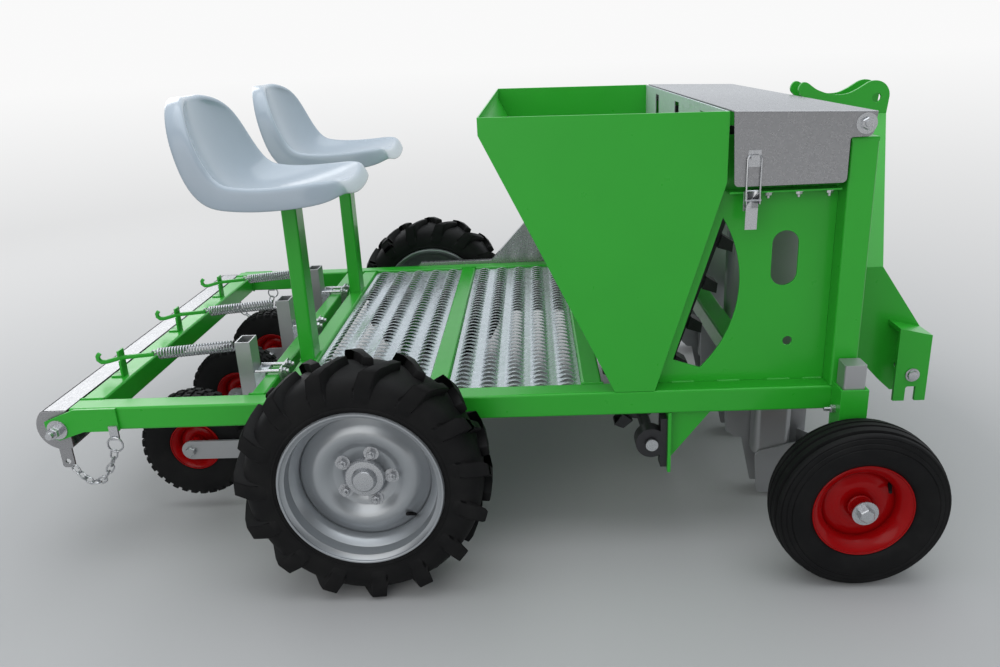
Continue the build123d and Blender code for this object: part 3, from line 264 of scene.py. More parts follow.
# Platform: two sheets of zinc-coated anti-slip plate between the cross tubes.
# The press slits each ridge across every 29 mm and lifts one lip of the slit into a low dome.
# Hot zinc freezes into flat crystals a few millimetres across, each with its own grey.


def spangle_group():
    """Zinc crystals: a grey and a gloss for each crystal, and the height of a fine grain."""
    group, start, end = new_group(
        "zinc_spangle",
        [("Colour", "NodeSocketColor", (0.6, 0.6, 0.6, 1)), ("Crystals", "NodeSocketFloat", 110.0),
         ("Contrast", "NodeSocketFloat", 0.12), ("Roughness", "NodeSocketFloat", 0.35)],
        [("Colour", "NodeSocketColor"), ("Roughness", "NodeSocketFloat"), ("Height", "NodeSocketFloat")],
    )
    link = group.links.new
    place = add_node(group, "ShaderNodeTexCoord")
    warp = add_node(group, "ShaderNodeTexNoise", in_Scale=60.0, in_Detail=2.0)
    link(place.outputs["Object"], warp.inputs["Vector"])
    bent = add_node(group, "ShaderNodeVectorMath", operation="MULTIPLY_ADD")
    bent.inputs[1].default_value = (0.006, 0.006, 0.006)
    link(warp.outputs["Color"], bent.inputs[0])
    link(place.outputs["Object"], bent.inputs[2])
    crystal = add_node(group, "ShaderNodeTexVoronoi")
    link(bent.outputs[0], crystal.inputs["Vector"])
    link(start.outputs["Crystals"], crystal.inputs["Scale"])
    grey = add_node(group, "ShaderNodeSeparateColor")
    link(crystal.outputs["Color"], grey.inputs["Color"])
    centred = math_node(group, "SUBTRACT", grey.outputs["Red"], 0.5)
    shade = add_node(group, "ShaderNodeHueSaturation")
    link(start.outputs["Colour"], shade.inputs["Color"])
    link(math_node(group, "MULTIPLY_ADD", centred, start.outputs["Contrast"], 1.0), shade.inputs["Value"])
    link(shade.outputs["Color"], end.inputs["Colour"])
    link(math_node(group, "MULTIPLY_ADD", grey.outputs["Green"], 0.14, start.outputs["Roughness"]),
         end.inputs["Roughness"])
    grain = add_node(group, "ShaderNodeTexNoise", in_Scale=240.0, in_Detail=3.0)
    link(place.outputs["Object"], grain.inputs["Vector"])
    link(grain.outputs["Fac"], end.inputs["Height"])
    return group


zinc_spangle = spangle_group()


def zinc(name, colour, metallic, roughness, crystals=110.0, contrast=0.14):
    """Zinc-coated steel with its crystals and a fine matt grain."""
    material, tree, shader = bare_material(name)
    group = add_node(tree, "ShaderNodeGroup", node_tree=zinc_spangle)
    group.inputs["Colour"].default_value = (*colour, 1)
    group.inputs["Crystals"].default_value = crystals
    group.inputs["Contrast"].default_value = contrast
    group.inputs["Roughness"].default_value = roughness
    tree.links.new(group.outputs["Colour"], shader.inputs["Base Color"])
    tree.links.new(group.outputs["Roughness"], shader.inputs["Roughness"])
    shader.inputs["Metallic"].default_value = metallic
    bump_from(tree, group.outputs["Height"], shader, 0.00005, 0.4)
    return material


bright_zinc = zinc("bright_zinc", (0.56, 0.60, 0.64), 0.7, 0.24)
sheet_low, sheet_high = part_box("platform")
sheet_margin = 0.002
sheet_thickness = 0.0018
ridges = 5
louvre_pitch = 0.029
louvre_low, louvre_high = 0.0025, 0.0085
columns_per_ridge = 12
bm = bmesh.new()
for rear_face, next_face in zip(cross_rear_faces, cross_rear_faces[1:]):
    start_x = rear_face + cross_tube + sheet_margin
    sheet_length = next_face - sheet_margin - start_x
    louvres = round((sheet_high.y - sheet_low.y) / louvre_pitch)
    strip_width = (sheet_high.y - sheet_low.y) / louvres
    strip = bmesh.ops.create_grid(bm, x_segments=ridges * columns_per_ridge, y_segments=2, size=0.5)["verts"]
    for vert in strip:
        along, across = vert.co.x + 0.5, vert.co.y + 0.5
        swell = max(0.0, -math.cos(2 * math.pi * along * ridges) + 0.5) ** 0.8
        lift = louvre_high + (louvre_low - louvre_high) * across
        vert.co = (start_x + along * sheet_length, sheet_low.y + across * strip_width,
                   sheet_low.z + sheet_thickness + swell * lift)
    strip_geometry = list({part for vert in strip for part in (vert, *vert.link_edges, *vert.link_faces)})
    for louvre in range(1, louvres):
        copied = bmesh.ops.duplicate(bm, geom=strip_geometry)["geom"]
        bmesh.ops.translate(bm, vec=(0, louvre * strip_width, 0),
                            verts=[part for part in copied if isinstance(part, bmesh.types.BMVert)])
bmesh.ops.solidify(bm, geom=bm.faces[:], thickness=sheet_thickness)
louvred_platform = make_piece(bm, "louvred_platform", bright_zinc, "frame")
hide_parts("platform")

# Seats: glossy grey pans moulded in one piece, with a rolled rim that turns down into a skirt.
# Each sits on its post and is bolted through the pan's floor.
seat_gloss = enamel("seat_gloss", (0.34, 0.40, 0.46), (0.50, 0.56, 0.60), roughness=0.16, coat=0.35, edge=0.15,
                    peel=0.00003)
# Stations from the front lip to the top of the back: X, Z, half width, lift of the side edge, skirt depth.
seat_stations = [
    (-0.352, 0.923, 0.160, 0.020, 0.040), (-0.376, 0.914, 0.184, 0.032, 0.056),
    (-0.440, 0.897, 0.196, 0.042, 0.056), (-0.530, 0.882, 0.200, 0.054, 0.056),
    (-0.600, 0.881, 0.200, 0.062, 0.058), (-0.650, 0.899, 0.200, 0.062, 0.068),
    (-0.684, 0.942, 0.199, 0.056, 0.064), (-0.705, 1.000, 0.195, 0.048, 0.054),
    (-0.719, 1.056, 0.182, 0.042, 0.048), (-0.727, 1.098, 0.155, 0.034, 0.042),
    (-0.731, 1.122, 0.112, 0.022, 0.040), (-0.733, 1.132, 0.060, 0.010, 0.038),
]
seat_columns = (-1.0, -0.86, -0.5, 0.0, 0.5, 0.86, 1.0)
rim_roll = ((0.008, -0.001), (0.015, 0.005), (0.018, 0.016))
rim_flare = 0.020
seat_wall = 0.004
bm = bmesh.new()
for side in (-1, 1):
    pan = bmesh.ops.create_grid(bm, x_segments=len(seat_columns) - 1, y_segments=len(seat_stations) - 1,
                                size=0.5)["verts"]
    outward, inward_normal, skirt = {}, {}, {}
    for vert in pan:
        row = round((vert.co.y + 0.5) * (len(seat_stations) - 1))
        column = round((vert.co.x + 0.5) * (len(seat_columns) - 1))
        x, z, half_width, lift, depth = seat_stations[row]
        before = seat_stations[max(row - 1, 0)]
        after = seat_stations[min(row + 1, len(seat_stations) - 1)]
        run = Vector((after[0] - before[0], 0, after[1] - before[1]))
        narrowing = (before[2] - after[2]) / run.length
        run.normalize()
        normal = Vector((run.z, 0, -run.x))
        share = seat_columns[column]
        vert.co = Vector((x, side * seat_y + share * half_width, z)) + normal * lift * abs(share) ** 2.4
        edge_way = Vector((0, math.copysign(1.0, share), 0)) + run * narrowing if abs(share) == 1 else Vector()
        if row == 0:
            edge_way = edge_way - run
        if row == len(seat_stations) - 1:
            edge_way = edge_way + run
        outward[vert] = edge_way.normalized()
        inward_normal[vert] = normal
        skirt[vert] = depth
    rim_edges = [edge for edge in {edge for vert in pan for edge in vert.link_edges} if edge.is_boundary]
    rim_origin = {vert: (vert.co.copy(), vert) for edge in rim_edges for vert in edge.verts}
    for ring in range(len(rim_roll) + 1):
        made = bmesh.ops.extrude_edge_only(bm, edges=rim_edges)["geom"]
        next_origin = {}
        for vert in (part for part in made if isinstance(part, bmesh.types.BMVert)):
            source = min(rim_origin.values(), key=lambda held: (held[0] - vert.co).length)[1]
            base = source.co
            if ring < len(rim_roll):
                out, down = rim_roll[ring]
            else:
                out, down = rim_flare, skirt[source]
            vert.co = base + outward[source] * out - inward_normal[source] * down
            next_origin[vert] = (vert.co.copy(), source)
        rim_edges = [part for part in made if isinstance(part, bmesh.types.BMEdge)]
        rim_origin = next_origin
bmesh.ops.recalc_face_normals(bm, faces=bm.faces)
moulded_seats = make_piece(bm, "moulded_seats", seat_gloss, "frame", smooth=math.pi)
shell = moulded_seats.modifiers.new("wall", "SOLIDIFY")
shell.thickness = seat_wall
shell.offset = -1.0
soft = moulded_seats.modifiers.new("moulded_curve", "SUBSURF")
soft.levels = 2
soft.render_levels = 2
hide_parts("seats")

# Hopper: folded and welded sheet, green outside and in, with a zinc-coated slotted wall at the front.
dress(["hopper_ends", "hopper_rear_wall"], green_enamel)
# The front wall's zinc is coloured pale blue-white, partly a painted sky reflection.
sheet_zinc_painted_reflection = zinc("sheet_zinc_painted_reflection", (0.62, 0.66, 0.70), 0.3, 0.30, contrast=0.08)
dress(["hopper_front_wall"], sheet_zinc_painted_reflection)

# Housing: square posts and cross beams, with plates that close its sides and carry the upper shaft.
# A ledge folded out of each plate stiffens it below the lid; three bolts hold it to a strip inside.
dress(["front_posts", "front_beams", "side_plates"], green_enamel)


def hex_head(bm, place, along, across, thick, washer=0.0, shank=0.0):
    """Hexagon nut or bolt head on a face, with an optional washer under it and bolt end beyond it."""
    turn = pointing(place, along)
    if washer:
        bmesh.ops.create_cone(bm, cap_ends=True, segments=20, radius1=across * 0.95, radius2=across * 0.95,
                              depth=washer, matrix=turn @ Matrix.Translation((0, 0, washer / 2)))
    head = bmesh.ops.create_cone(bm, cap_ends=True, segments=6, radius1=across / math.sqrt(3),
                                 radius2=across / math.sqrt(3), depth=thick,
                                 matrix=turn @ Matrix.Translation((0, 0, washer + thick / 2)))["verts"]
    top = Vector(along).normalized()
    crown = [edge for edge in {edge for vert in head for edge in vert.link_edges}
             if all((vert.co - Vector(place)).dot(top) > washer + thick * 0.9 for vert in edge.verts)]
    bmesh.ops.bevel(bm, geom=crown, offset=across * 0.07, affect="EDGES", segments=1, profile=0.5, material=-1)
    if shank:
        bmesh.ops.create_cone(bm, cap_ends=True, segments=14, radius1=across * 0.31, radius2=across * 0.27,
                              depth=shank, matrix=turn @ Matrix.Translation((0, 0, washer + thick + shank / 2)))


plated_steel = zinc("plated_steel", (0.52, 0.53, 0.55), 0.9, 0.24, crystals=600.0, contrast=0.05)
plate_low, plate_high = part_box("side_plates")
ledge_bottom, ledge_edge = 0.896, plate_high.y
bm = bmesh.new()
for side in (-1, 1):
    for x in (0.647, 0.714, 0.781):
        hex_head(bm, (x, side * (ledge_edge - 0.018), ledge_bottom), (0, 0, -1), 0.013, 0.007, washer=0.002,
                 shank=0.006)
make_piece(bm, "ledge_bolts", plated_steel, "frame")
bm = bmesh.new()
plate_outer = 0.598
for side in (-1, 1):
    for start, end in ((0.450, 0.500), (0.560, 0.610), (0.680, 0.730), (0.765, 0.805)):
        weld_bead(bm, (start, side * plate_outer, beam_high.z), (end, side * plate_outer, beam_high.z))
make_piece(bm, "plate_welds", green_enamel, "frame")

# Lid: one zinc-coated sheet folded down at both sides, hinged by ears on two bolts at the post tops.
# Its satin zinc is duller than the platform's; wide washers under the bolt heads keep the ears flat.
satin_zinc = zinc("satin_zinc", (0.32, 0.32, 0.33), 0.75, 0.25, crystals=260.0, contrast=0.05)
dress(["chain_guard"], satin_zinc)


def rounded(corners, steps=6):
    """Outline of (X, Z) points from corners given as (X, Z, radius)."""
    outline = []
    for index, (x, z, radius) in enumerate(corners):
        here = Vector((x, z))
        before = (Vector(corners[index - 1][:2]) - here).normalized()
        after = (Vector(corners[(index + 1) % len(corners)][:2]) - here).normalized()
        half = before.angle(after) / 2
        centre = here + (before + after).normalized() * radius / math.sin(half)
        start = here + before * radius / math.tan(half) - centre
        end = here + after * radius / math.tan(half) - centre
        for step in range(steps + 1 if radius else 1):
            outline.append(centre + start.lerp(end, step / steps).normalized() * radius if radius else here)
    return outline


def cut_plate(bm, outline, near, far, holes=()):
    """Plate cut to an outline of (X, Z) points between two Y planes, with round holes (X, Z, radius)."""
    loops = [[(x, near, z) for x, z in outline]]
    for x, z, radius in holes:
        loops.append([(x + radius * math.cos(turn), near, z + radius * math.sin(turn))
                      for turn in (step * math.pi / 16 for step in range(32))])
    rims = []
    for loop in loops:
        ring = [bm.verts.new(point) for point in loop]
        rims += [bm.edges.new(pair) for pair in zip(ring, ring[1:] + ring[:1])]
    filled = bmesh.ops.triangle_fill(bm, use_beauty=True, edges=rims)["geom"]
    faces = [part for part in filled if isinstance(part, bmesh.types.BMFace)]
    grown = bmesh.ops.extrude_face_region(bm, geom=faces)["geom"]
    bmesh.ops.translate(bm, vec=(0, far - near, 0),
                        verts=[part for part in grown if isinstance(part, bmesh.types.BMVert)])


def block(bm, low, high):
    """Box between two corners; returns its vertices."""
    low, high = Vector(low), Vector(high)
    place = Matrix.Translation((low + high) / 2) @ Matrix.Diagonal((*(high - low), 1))
    return bmesh.ops.create_cube(bm, size=1.0, matrix=place)["verts"]


lid_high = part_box("lid")[1]
lid_sheet = 0.0025
lid_top = ((0.557, 1.075), (0.857, 1.062))
hinge_x, hinge_z, hinge_hole = 0.835, 1.0375, 0.0062
lid_side = [(0.564, 0.914, 0.010), (0.804, 0.914, 0.010), (0.804, 1.010, 0.006), (0.851, 1.010, 0.014),
            (0.857, 1.0594, 0.0), (0.557, 1.0724, 0.0)]
bm = bmesh.new()
roof = bmesh.ops.create_cube(bm, size=1.0)["verts"]
for vert in roof:
    x, z = lid_top[vert.co.x > 0]
    vert.co = (x, lid_high.y * (1 if vert.co.y > 0 else -1), z - (lid_sheet if vert.co.z < 0 else 0.0))
folds = [edge for edge in bm.edges if len({round(vert.co.y, 4) for vert in edge.verts}) == 1
         and all(vert.co.z > lid_top[vert.co.x > 0.7][1] - 0.001 for vert in edge.verts)]
bmesh.ops.bevel(bm, geom=folds, offset=0.0022, affect="EDGES", segments=3, profile=0.5, material=-1)
for side in (-1, 1):
    cut_plate(bm, rounded(lid_side), side * (lid_high.y - lid_sheet), side * lid_high.y,
              holes=[(hinge_x, hinge_z, hinge_hole)])
folded_lid = make_piece(bm, "folded_lid", satin_zinc, "lid")
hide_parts("lid")
bm = bmesh.new()
for side in (-1, 1):
    hex_head(bm, (hinge_x, side * (lid_high.y + 0.0003), hinge_z), (0, side, 0), 0.0235, 0.0085, washer=0.0012,
             shank=0.003)
make_piece(bm, "hinge_bolts", plated_steel, "frame")
post_low, post_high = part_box("front_posts")
bm = bmesh.new()
for side in (-1, 1):
    block(bm, (post_low.x, side * beam_inner, 0.998), (post_high.x, side * beam_high.y, 1.0085))
bmesh.ops.bevel(bm, geom=bm.edges[:], offset=0.002, affect="EDGES", segments=2, profile=0.5, material=-1)
make_piece(bm, "post_caps", green_enamel, "frame")

# Latches: on each side a wire bail pulls a catch on the lid down, held by a lever that hangs from the ledge.


def sweep(bm, sections):
    """Solid grown from the first section through all the others; returns its vertices."""
    face = bm.faces.new([bm.verts.new(point) for point in sections[0]])
    grown = list(face.verts)
    for before, section in zip(sections, sections[1:]):
        made = bmesh.ops.extrude_face_region(bm, geom=[face])["geom"]
        face = next(part for part in made if isinstance(part, bmesh.types.BMFace))
        for vert in face.verts:
            nearest = min(range(len(before)), key=lambda index: (Vector(before[index]) - vert.co).length)
            vert.co = section[nearest]
        grown += face.verts
    return grown


def wire(bm, points, radius, sides=8, closed=False):
    """Round wire along points; a closed one joins its last point to its first."""
    points = [Vector(point) for point in points]
    if closed:
        points.append(points[0].copy())
    last = len(points) - 1
    sections = []
    normal = None
    for index, point in enumerate(points):
        before = points[index - 1] if index else points[last - 1 if closed else 0]
        after = points[index + 1] if index < last else points[1 if closed else last]
        ahead = (after - before).normalized()
        normal = ahead.orthogonal() if normal is None else normal
        normal = (normal - ahead * normal.dot(ahead)).normalized()
        beside = ahead.cross(normal)
        sections.append([point + radius * (math.cos(angle) * normal + math.sin(angle) * beside)
                         for angle in (2 * math.pi * side / sides for side in range(sides))])
    caps = sweep(bm, sections)
    if closed:
        ends = {face for vert in (*caps[:sides], *caps[-sides:]) for face in vert.link_faces
                if len(face.verts) == sides}
        bmesh.ops.delete(bm, geom=list(ends), context="FACES_ONLY")
        bmesh.ops.remove_doubles(bm, verts=caps[:sides] + caps[-sides:], dist=0.00001)


latch_x, latch_half_width = 0.604, 0.015
lid_face = lid_high.y
lid_edge = 0.914
for side, name in ((-1, "right"), (1, "left")):
    bm = bmesh.new()
    block(bm, (latch_x - 0.014, side * lid_face, 0.956), (latch_x + 0.014, side * (lid_face + 0.002), 0.992))
    block(bm, (latch_x - 0.009, side * (lid_face + 0.002), 0.972), (latch_x + 0.009, side * (lid_face + 0.007), 0.976))
    block(bm, (latch_x - 0.009, side * (lid_face + 0.007), 0.972), (latch_x + 0.009, side * (lid_face + 0.009), 0.982))
    make_piece(bm, f"latch_catch_{name}", plated_steel, "lid")
    bm = bmesh.new()
    bail_y = side * (lid_face + 0.0045)
    corner = 0.006
    bail = [(latch_x - latch_half_width, bail_y, lid_edge - 0.030)]
    for hand in (-1, 1):
        turns = (0, 30, 60, 90) if hand < 0 else (90, 60, 30, 0)
        bail += [(latch_x + hand * (latch_half_width - corner + corner * math.cos(math.radians(turn))), bail_y,
                  0.9795 - corner + corner * math.sin(math.radians(turn))) for turn in turns]
    bail.append((latch_x + latch_half_width, bail_y, lid_edge - 0.030))
    wire(bm, bail, 0.0020)
    block(bm, (latch_x - 0.016, side * ledge_edge, 0.858), (latch_x + 0.016, side * (ledge_edge + 0.003), 0.902))
    strap = []
    for z, out in ((0.905, 0.010), (0.900, 0.014), (0.890, 0.0155), (0.850, 0.0130), (0.818, 0.0115)):
        y = ledge_edge + out
        strap.append([(latch_x - 0.013, side * y, z), (latch_x + 0.013, side * y, z),
                      (latch_x + 0.013, side * (y + 0.002), z), (latch_x - 0.013, side * (y + 0.002), z)])
    sweep(bm, strap)
    for x in (latch_x - 0.0155, latch_x + 0.0135):
        block(bm, (x, side * (ledge_edge + 0.003), 0.876), (x + 0.002, side * (ledge_edge + 0.024), 0.900))
    wire(bm, [(latch_x - 0.018, bail_y, lid_edge - 0.030), (latch_x + 0.018, bail_y, lid_edge - 0.030)], 0.0025)
    make_piece(bm, f"latch_{name}", plated_steel, "frame")

# Planting shafts, bearings and cup chains: bare oiled steel, coloured near black, partly as painted shade inside the
# housing.
oiled_steel_and_shade = zinc("oiled_steel_and_shade", (0.05, 0.05, 0.053), 0.8, 0.35, crystals=500.0, contrast=0.2)
dress(["lower_shaft", "upper_shaft", "lower_bearings", "upper_bearings", "cup_chain_right", "cup_chain_middle",
       "cup_chain_left"], oiled_steel_and_shade, bevel=0)
dress(["shaft_brackets"], green_enamel)
shaft_low, shaft_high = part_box("lower_shaft")
shaft_middle = (shaft_low + shaft_high) / 2
shaft_end_radius, shaft_end_thick = 0.0152, 0.0012
bm = bmesh.new()
for side in (-1, 1):
    wire(bm, [(shaft_middle.x, side * (shaft_high.y + out), shaft_middle.z) for out in (-0.004, shaft_end_thick)],
         shaft_end_radius, sides=28)
make_piece(bm, "shaft_ends", plated_steel, "frame")

# Drop tubes and furrow openers: rolled and folded sheet under a thin silver-grey coat.
grey_satin = enamel("grey_satin", (0.38, 0.385, 0.395), (0.5, 0.5, 0.52), roughness=0.28, metallic=0.65)
dress(["drop_tubes"], grey_satin)
# Each shoe has a hanger plate on its far side, a low cheek on its near side and a bent nose between them.
opener_low, opener_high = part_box("openers")
hanger = rounded([(opener_low.x, beam_low.z, 0.0), (opener_low.x + 0.006, 0.176, 0.010),
                  (opener_low.x + 0.030, 0.150, 0.010), (0.692, 0.150, 0.0), (0.722, 0.014, 0.006),
                  (0.7775, 0.014, 0.006), (0.845, 0.105, 0.0), (0.868, 0.150, 0.010), (0.868, beam_low.z, 0.0)])
cheek = rounded([(0.711, 0.138, 0.018), (0.848, 0.172, 0.008), (0.845, 0.105, 0.0), (0.7775, 0.014, 0.006),
                 (0.722, 0.014, 0.012)])
nose_line = ((0.846, 0.172), (0.845, 0.105), (0.7775, 0.014))
shoe_half_width, shoe_sheet, nose_reach = 0.039, 0.005, 0.030
seed_rows = (-0.375, 0.0, 0.375)
bm = bmesh.new()
for row_y in seed_rows:
    cut_plate(bm, cheek, row_y - shoe_half_width, row_y - shoe_half_width + shoe_sheet)
    cut_plate(bm, hanger, row_y + shoe_half_width - shoe_sheet, row_y + shoe_half_width)
    sweep(bm, [[(x + ahead, row_y + y, z) for ahead, y in (
        (-shoe_sheet, -shoe_half_width), (nose_reach - shoe_sheet, 0), (-shoe_sheet, shoe_half_width),
        (0, shoe_half_width), (nose_reach, 0), (0, -shoe_half_width))] for x, z in nose_line])
furrow_shoes = make_piece(bm, "furrow_shoes", grey_satin, "frame")
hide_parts("openers")

# Drive wheels: field tyres with two rows of slanting bars on silver pressed-steel rims.
# The rim's disc is pressed into a raised ring round the hub and held by five wheel nuts.
# Carcass and rim are spun from their sections; one bar is swept and turned round the tyre.


def rubber_group():
    """Moulded rubber: grey bloom and dust over black, and the height of a fine mould grain."""
    group, start, end = new_group(
        "moulded_rubber",
        [("Colour", "NodeSocketColor", (0.01, 0.01, 0.01, 1)), ("Dust", "NodeSocketFloat", 0.3),
         ("Roughness", "NodeSocketFloat", 0.5)],
        [("Colour", "NodeSocketColor"), ("Roughness", "NodeSocketFloat"), ("Height", "NodeSocketFloat")],
    )
    link = group.links.new
    place = add_node(group, "ShaderNodeTexCoord")
    bloom = add_node(group, "ShaderNodeTexNoise", in_Scale=14.0, in_Detail=5.0, in_Roughness=0.65)
    grain = add_node(group, "ShaderNodeTexNoise", in_Scale=900.0, in_Detail=2.0)
    link(place.outputs["Object"], bloom.inputs["Vector"])
    link(place.outputs["Object"], grain.inputs["Vector"])
    spread = add_node(group, "ShaderNodeMapRange", in_From_Min=0.42, in_From_Max=0.78)
    link(bloom.outputs["Fac"], spread.inputs["Value"])
    dusty = add_node(group, "ShaderNodeMix", data_type="RGBA")
    dusty.inputs["B"].default_value = (0.055, 0.053, 0.05, 1)
    link(math_node(group, "MULTIPLY", spread.outputs["Result"], start.outputs["Dust"]), dusty.inputs["Factor"])
    link(start.outputs["Colour"], dusty.inputs["A"])
    link(dusty.outputs["Result"], end.inputs["Colour"])
    link(math_node(group, "MULTIPLY_ADD", bloom.outputs["Fac"], 0.22, start.outputs["Roughness"]),
         end.inputs["Roughness"])
    link(grain.outputs["Fac"], end.inputs["Height"])
    return group


moulded_rubber = rubber_group()
tyre_rubber, tree, shader = bare_material("tyre_rubber")
group = add_node(tree, "ShaderNodeGroup", node_tree=moulded_rubber)
group.inputs["Colour"].default_value = (0.0062, 0.0062, 0.0066, 1)
group.inputs["Dust"].default_value = 0.12
shader.inputs["Specular IOR Level"].default_value = 0.14
tree.links.new(group.outputs["Colour"], shader.inputs["Base Color"])
tree.links.new(group.outputs["Roughness"], shader.inputs["Roughness"])
bump_from(tree, group.outputs["Height"], shader, 0.00012, 0.5)
rim_silver = enamel("rim_silver", (0.37, 0.39, 0.41), (0.6, 0.6, 0.6), roughness=0.26, coat=0.2, metallic=0.7)


def spun(bm, section, centre, closed=False, steps=96):
    """Section of (distance along the axle, radius) points spun round an axle at its centre."""
    centre = Vector(centre)
    ring = [bm.verts.new(centre + Vector((0, along, radius))) for along, radius in section]
    joins = [bm.edges.new(pair) for pair in zip(ring, ring[1:])]
    if closed:
        joins.append(bm.edges.new((ring[-1], ring[0])))
    bmesh.ops.spin(bm, geom=ring + joins, cent=centre, axis=(0, 1, 0), angle=2 * math.pi, steps=steps, use_merge=True)


drive_centre_x, drive_radius = -0.287, 0.297
drive_y = 0.770
sidewall = [
    (0.062, 0.181), (0.069, 0.1885), (0.0735, 0.194), (0.0752, 0.199), (0.0768, 0.200), (0.0766, 0.2035),
    (0.0756, 0.2045), (0.0772, 0.212), (0.0778, 0.224), (0.0770, 0.238), (0.0735, 0.251), (0.0665, 0.262),
    (0.055, 0.270), (0.037, 0.275), (0.016, 0.277),
]
bars = 15
# Stations of one bar: turn from its start, distance off the middle, radius at its foot, lean of its
# outward direction, height and half width at the foot.
bar_stations = [
    (-0.020, -0.006, 0.272, 0.00, 0.025, 0.0135), (0.045, 0.022, 0.271, 0.02, 0.0258, 0.0145),
    (0.115, 0.050, 0.266, 0.10, 0.0290, 0.0185), (0.165, 0.066, 0.256, 0.24, 0.0330, 0.0225),
    (0.190, 0.072, 0.246, 0.75, 0.0135, 0.0250), (0.200, 0.0745, 0.230, 0.98, 0.0055, 0.0240),
    (0.204, 0.0745, 0.214, 1.00, 0.0035, 0.0200),
]
barrel = [
    (-0.0775, 0.184), (-0.077, 0.188), (-0.073, 0.190), (-0.0685, 0.187), (-0.065, 0.177), (-0.046, 0.174),
    (-0.034, 0.161), (-0.028, 0.158), (0.018, 0.158), (0.025, 0.161), (0.037, 0.174), (0.045, 0.175),
    (0.0645, 0.177), (0.0685, 0.187), (0.073, 0.190), (0.077, 0.188), (0.0775, 0.184),
]
disc = [
    (0.000, 0.1575), (0.003, 0.149), (0.012, 0.135), (0.0205, 0.123), (0.024, 0.113), (0.022, 0.100),
    (0.014, 0.088), (0.007, 0.079), (0.005, 0.074), (0.005, 0.028),
]
hub = [(0.004, 0.047), (0.018, 0.047), (0.022, 0.044), (0.023, 0.030), (0.032, 0.028), (0.0365, 0.024), (0.038, 0.0)]
for side, name in ((-1, "right"), (1, "left")):
    centre = Vector((drive_centre_x, side * drive_y, drive_radius))
    bm = bmesh.new()
    for hand in (-1, 1):
        sections = []
        for turn, across, foot, lean, height, half_width in bar_stations:
            section = []
            for share, rise in ((-1.0, 0.0), (-0.72, 1.0), (0.72, 1.0), (1.0, 0.0)):
                radius = foot + rise * height * math.sqrt(1 - lean * lean)
                angle = hand * math.pi / 2 / bars - turn + share * half_width / foot
                section.append(centre + Vector((radius * math.sin(angle), hand * (across + rise * height * lean),
                                                radius * math.cos(angle))))
            sections.append(section)
        sweep(bm, sections)
    corners = [edge for edge in bm.edges if edge.calc_face_angle(0.0) > math.radians(40)]
    bmesh.ops.bevel(bm, geom=corners, offset=0.0025, affect="EDGES", segments=2, profile=0.5, material=-1)
    pair = bm.verts[:] + bm.edges[:] + bm.faces[:]
    for bar in range(1, bars):
        copied = bmesh.ops.duplicate(bm, geom=pair)["geom"]
        bmesh.ops.rotate(bm, cent=centre, matrix=Matrix.Rotation(bar * 2 * math.pi / bars, 3, "Y"),
                         verts=[part for part in copied if isinstance(part, bmesh.types.BMVert)])
    carcass = sidewall + [(-across, radius) for across, radius in reversed(sidewall)]
    spun(bm, carcass, centre, closed=True, steps=120)
    field_tyre = make_piece(bm, f"field_tyre_{name}", tyre_rubber, f"drive_wheel_{name}")
    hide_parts(f"drive_tyre_{name}")
    bm = bmesh.new()
    for section in (barrel, disc):
        spun(bm, [(side * along, radius) for along, radius in section], centre, steps=96)
    pressed_rim = make_piece(bm, f"pressed_rim_{name}", rim_silver, f"drive_wheel_{name}")
    sheet = pressed_rim.modifiers.new("sheet", "SOLIDIFY")
    sheet.thickness = 0.004
    sheet.offset = 0.0
    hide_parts(f"drive_rim_{name}")
    bm = bmesh.new()
    spun(bm, [(side * along, radius) for along, radius in hub], centre, steps=48)
    bmesh.ops.remove_doubles(bm, verts=bm.verts, dist=0.00001)
    for nut in range(5):
        angle = 2 * math.pi * (nut + 0.25) / 5
        place = centre + Vector((0.062 * math.sin(angle), side * 0.007, 0.062 * math.cos(angle)))
        hex_head(bm, place, (0, side, 0), 0.019, 0.011, washer=0.002, shank=0.006)
    make_piece(bm, f"drive_hub_{name}", plated_steel, f"drive_wheel_{name}")
    bm = bmesh.new()
    valve_place = centre + Vector((0.100, side * 0.013, -0.100))
    bmesh.ops.create_cone(bm, cap_ends=True, segments=12, radius1=0.0055, radius2=0.004, depth=0.034,
                          matrix=pointing(valve_place, (-0.5, side * 0.9, 0.5)))
    make_piece(bm, f"drive_valve_{name}", tyre_rubber, f"drive_wheel_{name}")

# Front wheels: small ribbed tyres on glossy red rims, each on a leg that slides in a sleeve on the beam.
# A bolt through the sleeve clamps the leg at its height.
dress(["leg_sleeves"], green_enamel)
dress(["front_legs"], grey_satin)
rim_red = enamel("rim_red", (0.30, 0.002, 0.003), (0.42, 0.02, 0.015), roughness=0.14, coat=0.06, gloss=0.14)
front_centre_x, front_radius = 0.846, 0.199
front_y = 0.782
front_half_section = [
    (0.0365, 0.107), (0.0368, 0.1135), (0.044, 0.1165), (0.0505, 0.124), (0.0545, 0.136), (0.056, 0.150),
    (0.0553, 0.1610), (0.0535, 0.1625), (0.0546, 0.1645), (0.0526, 0.1725), (0.0506, 0.1738), (0.0512, 0.1760),
    (0.0488, 0.1835), (0.0466, 0.1845), (0.0470, 0.1868), (0.0458, 0.1890), (0.0430, 0.1915), (0.0370, 0.1930),
    (0.0352, 0.1860), (0.0300, 0.1865), (0.0282, 0.1958), (0.0145, 0.1982), (0.0128, 0.1905), (0.0080, 0.1908),
    (0.0064, 0.1986), (0.0020, 0.1990),
]
front_barrel = [
    (-0.0435, 0.1110), (-0.0420, 0.1130), (-0.0395, 0.1115), (-0.0370, 0.1050), (-0.0240, 0.0890), (-0.0160, 0.0850),
    (0.0100, 0.0850), (0.0160, 0.0860), (0.0250, 0.0900), (0.0370, 0.1050), (0.0395, 0.1115), (0.0420, 0.1130),
    (0.0438, 0.1112),
]
front_disc = [(0.0060, 0.0850), (0.0075, 0.0720), (0.0130, 0.0620), (0.0150, 0.0500), (0.0150, 0.0250)]
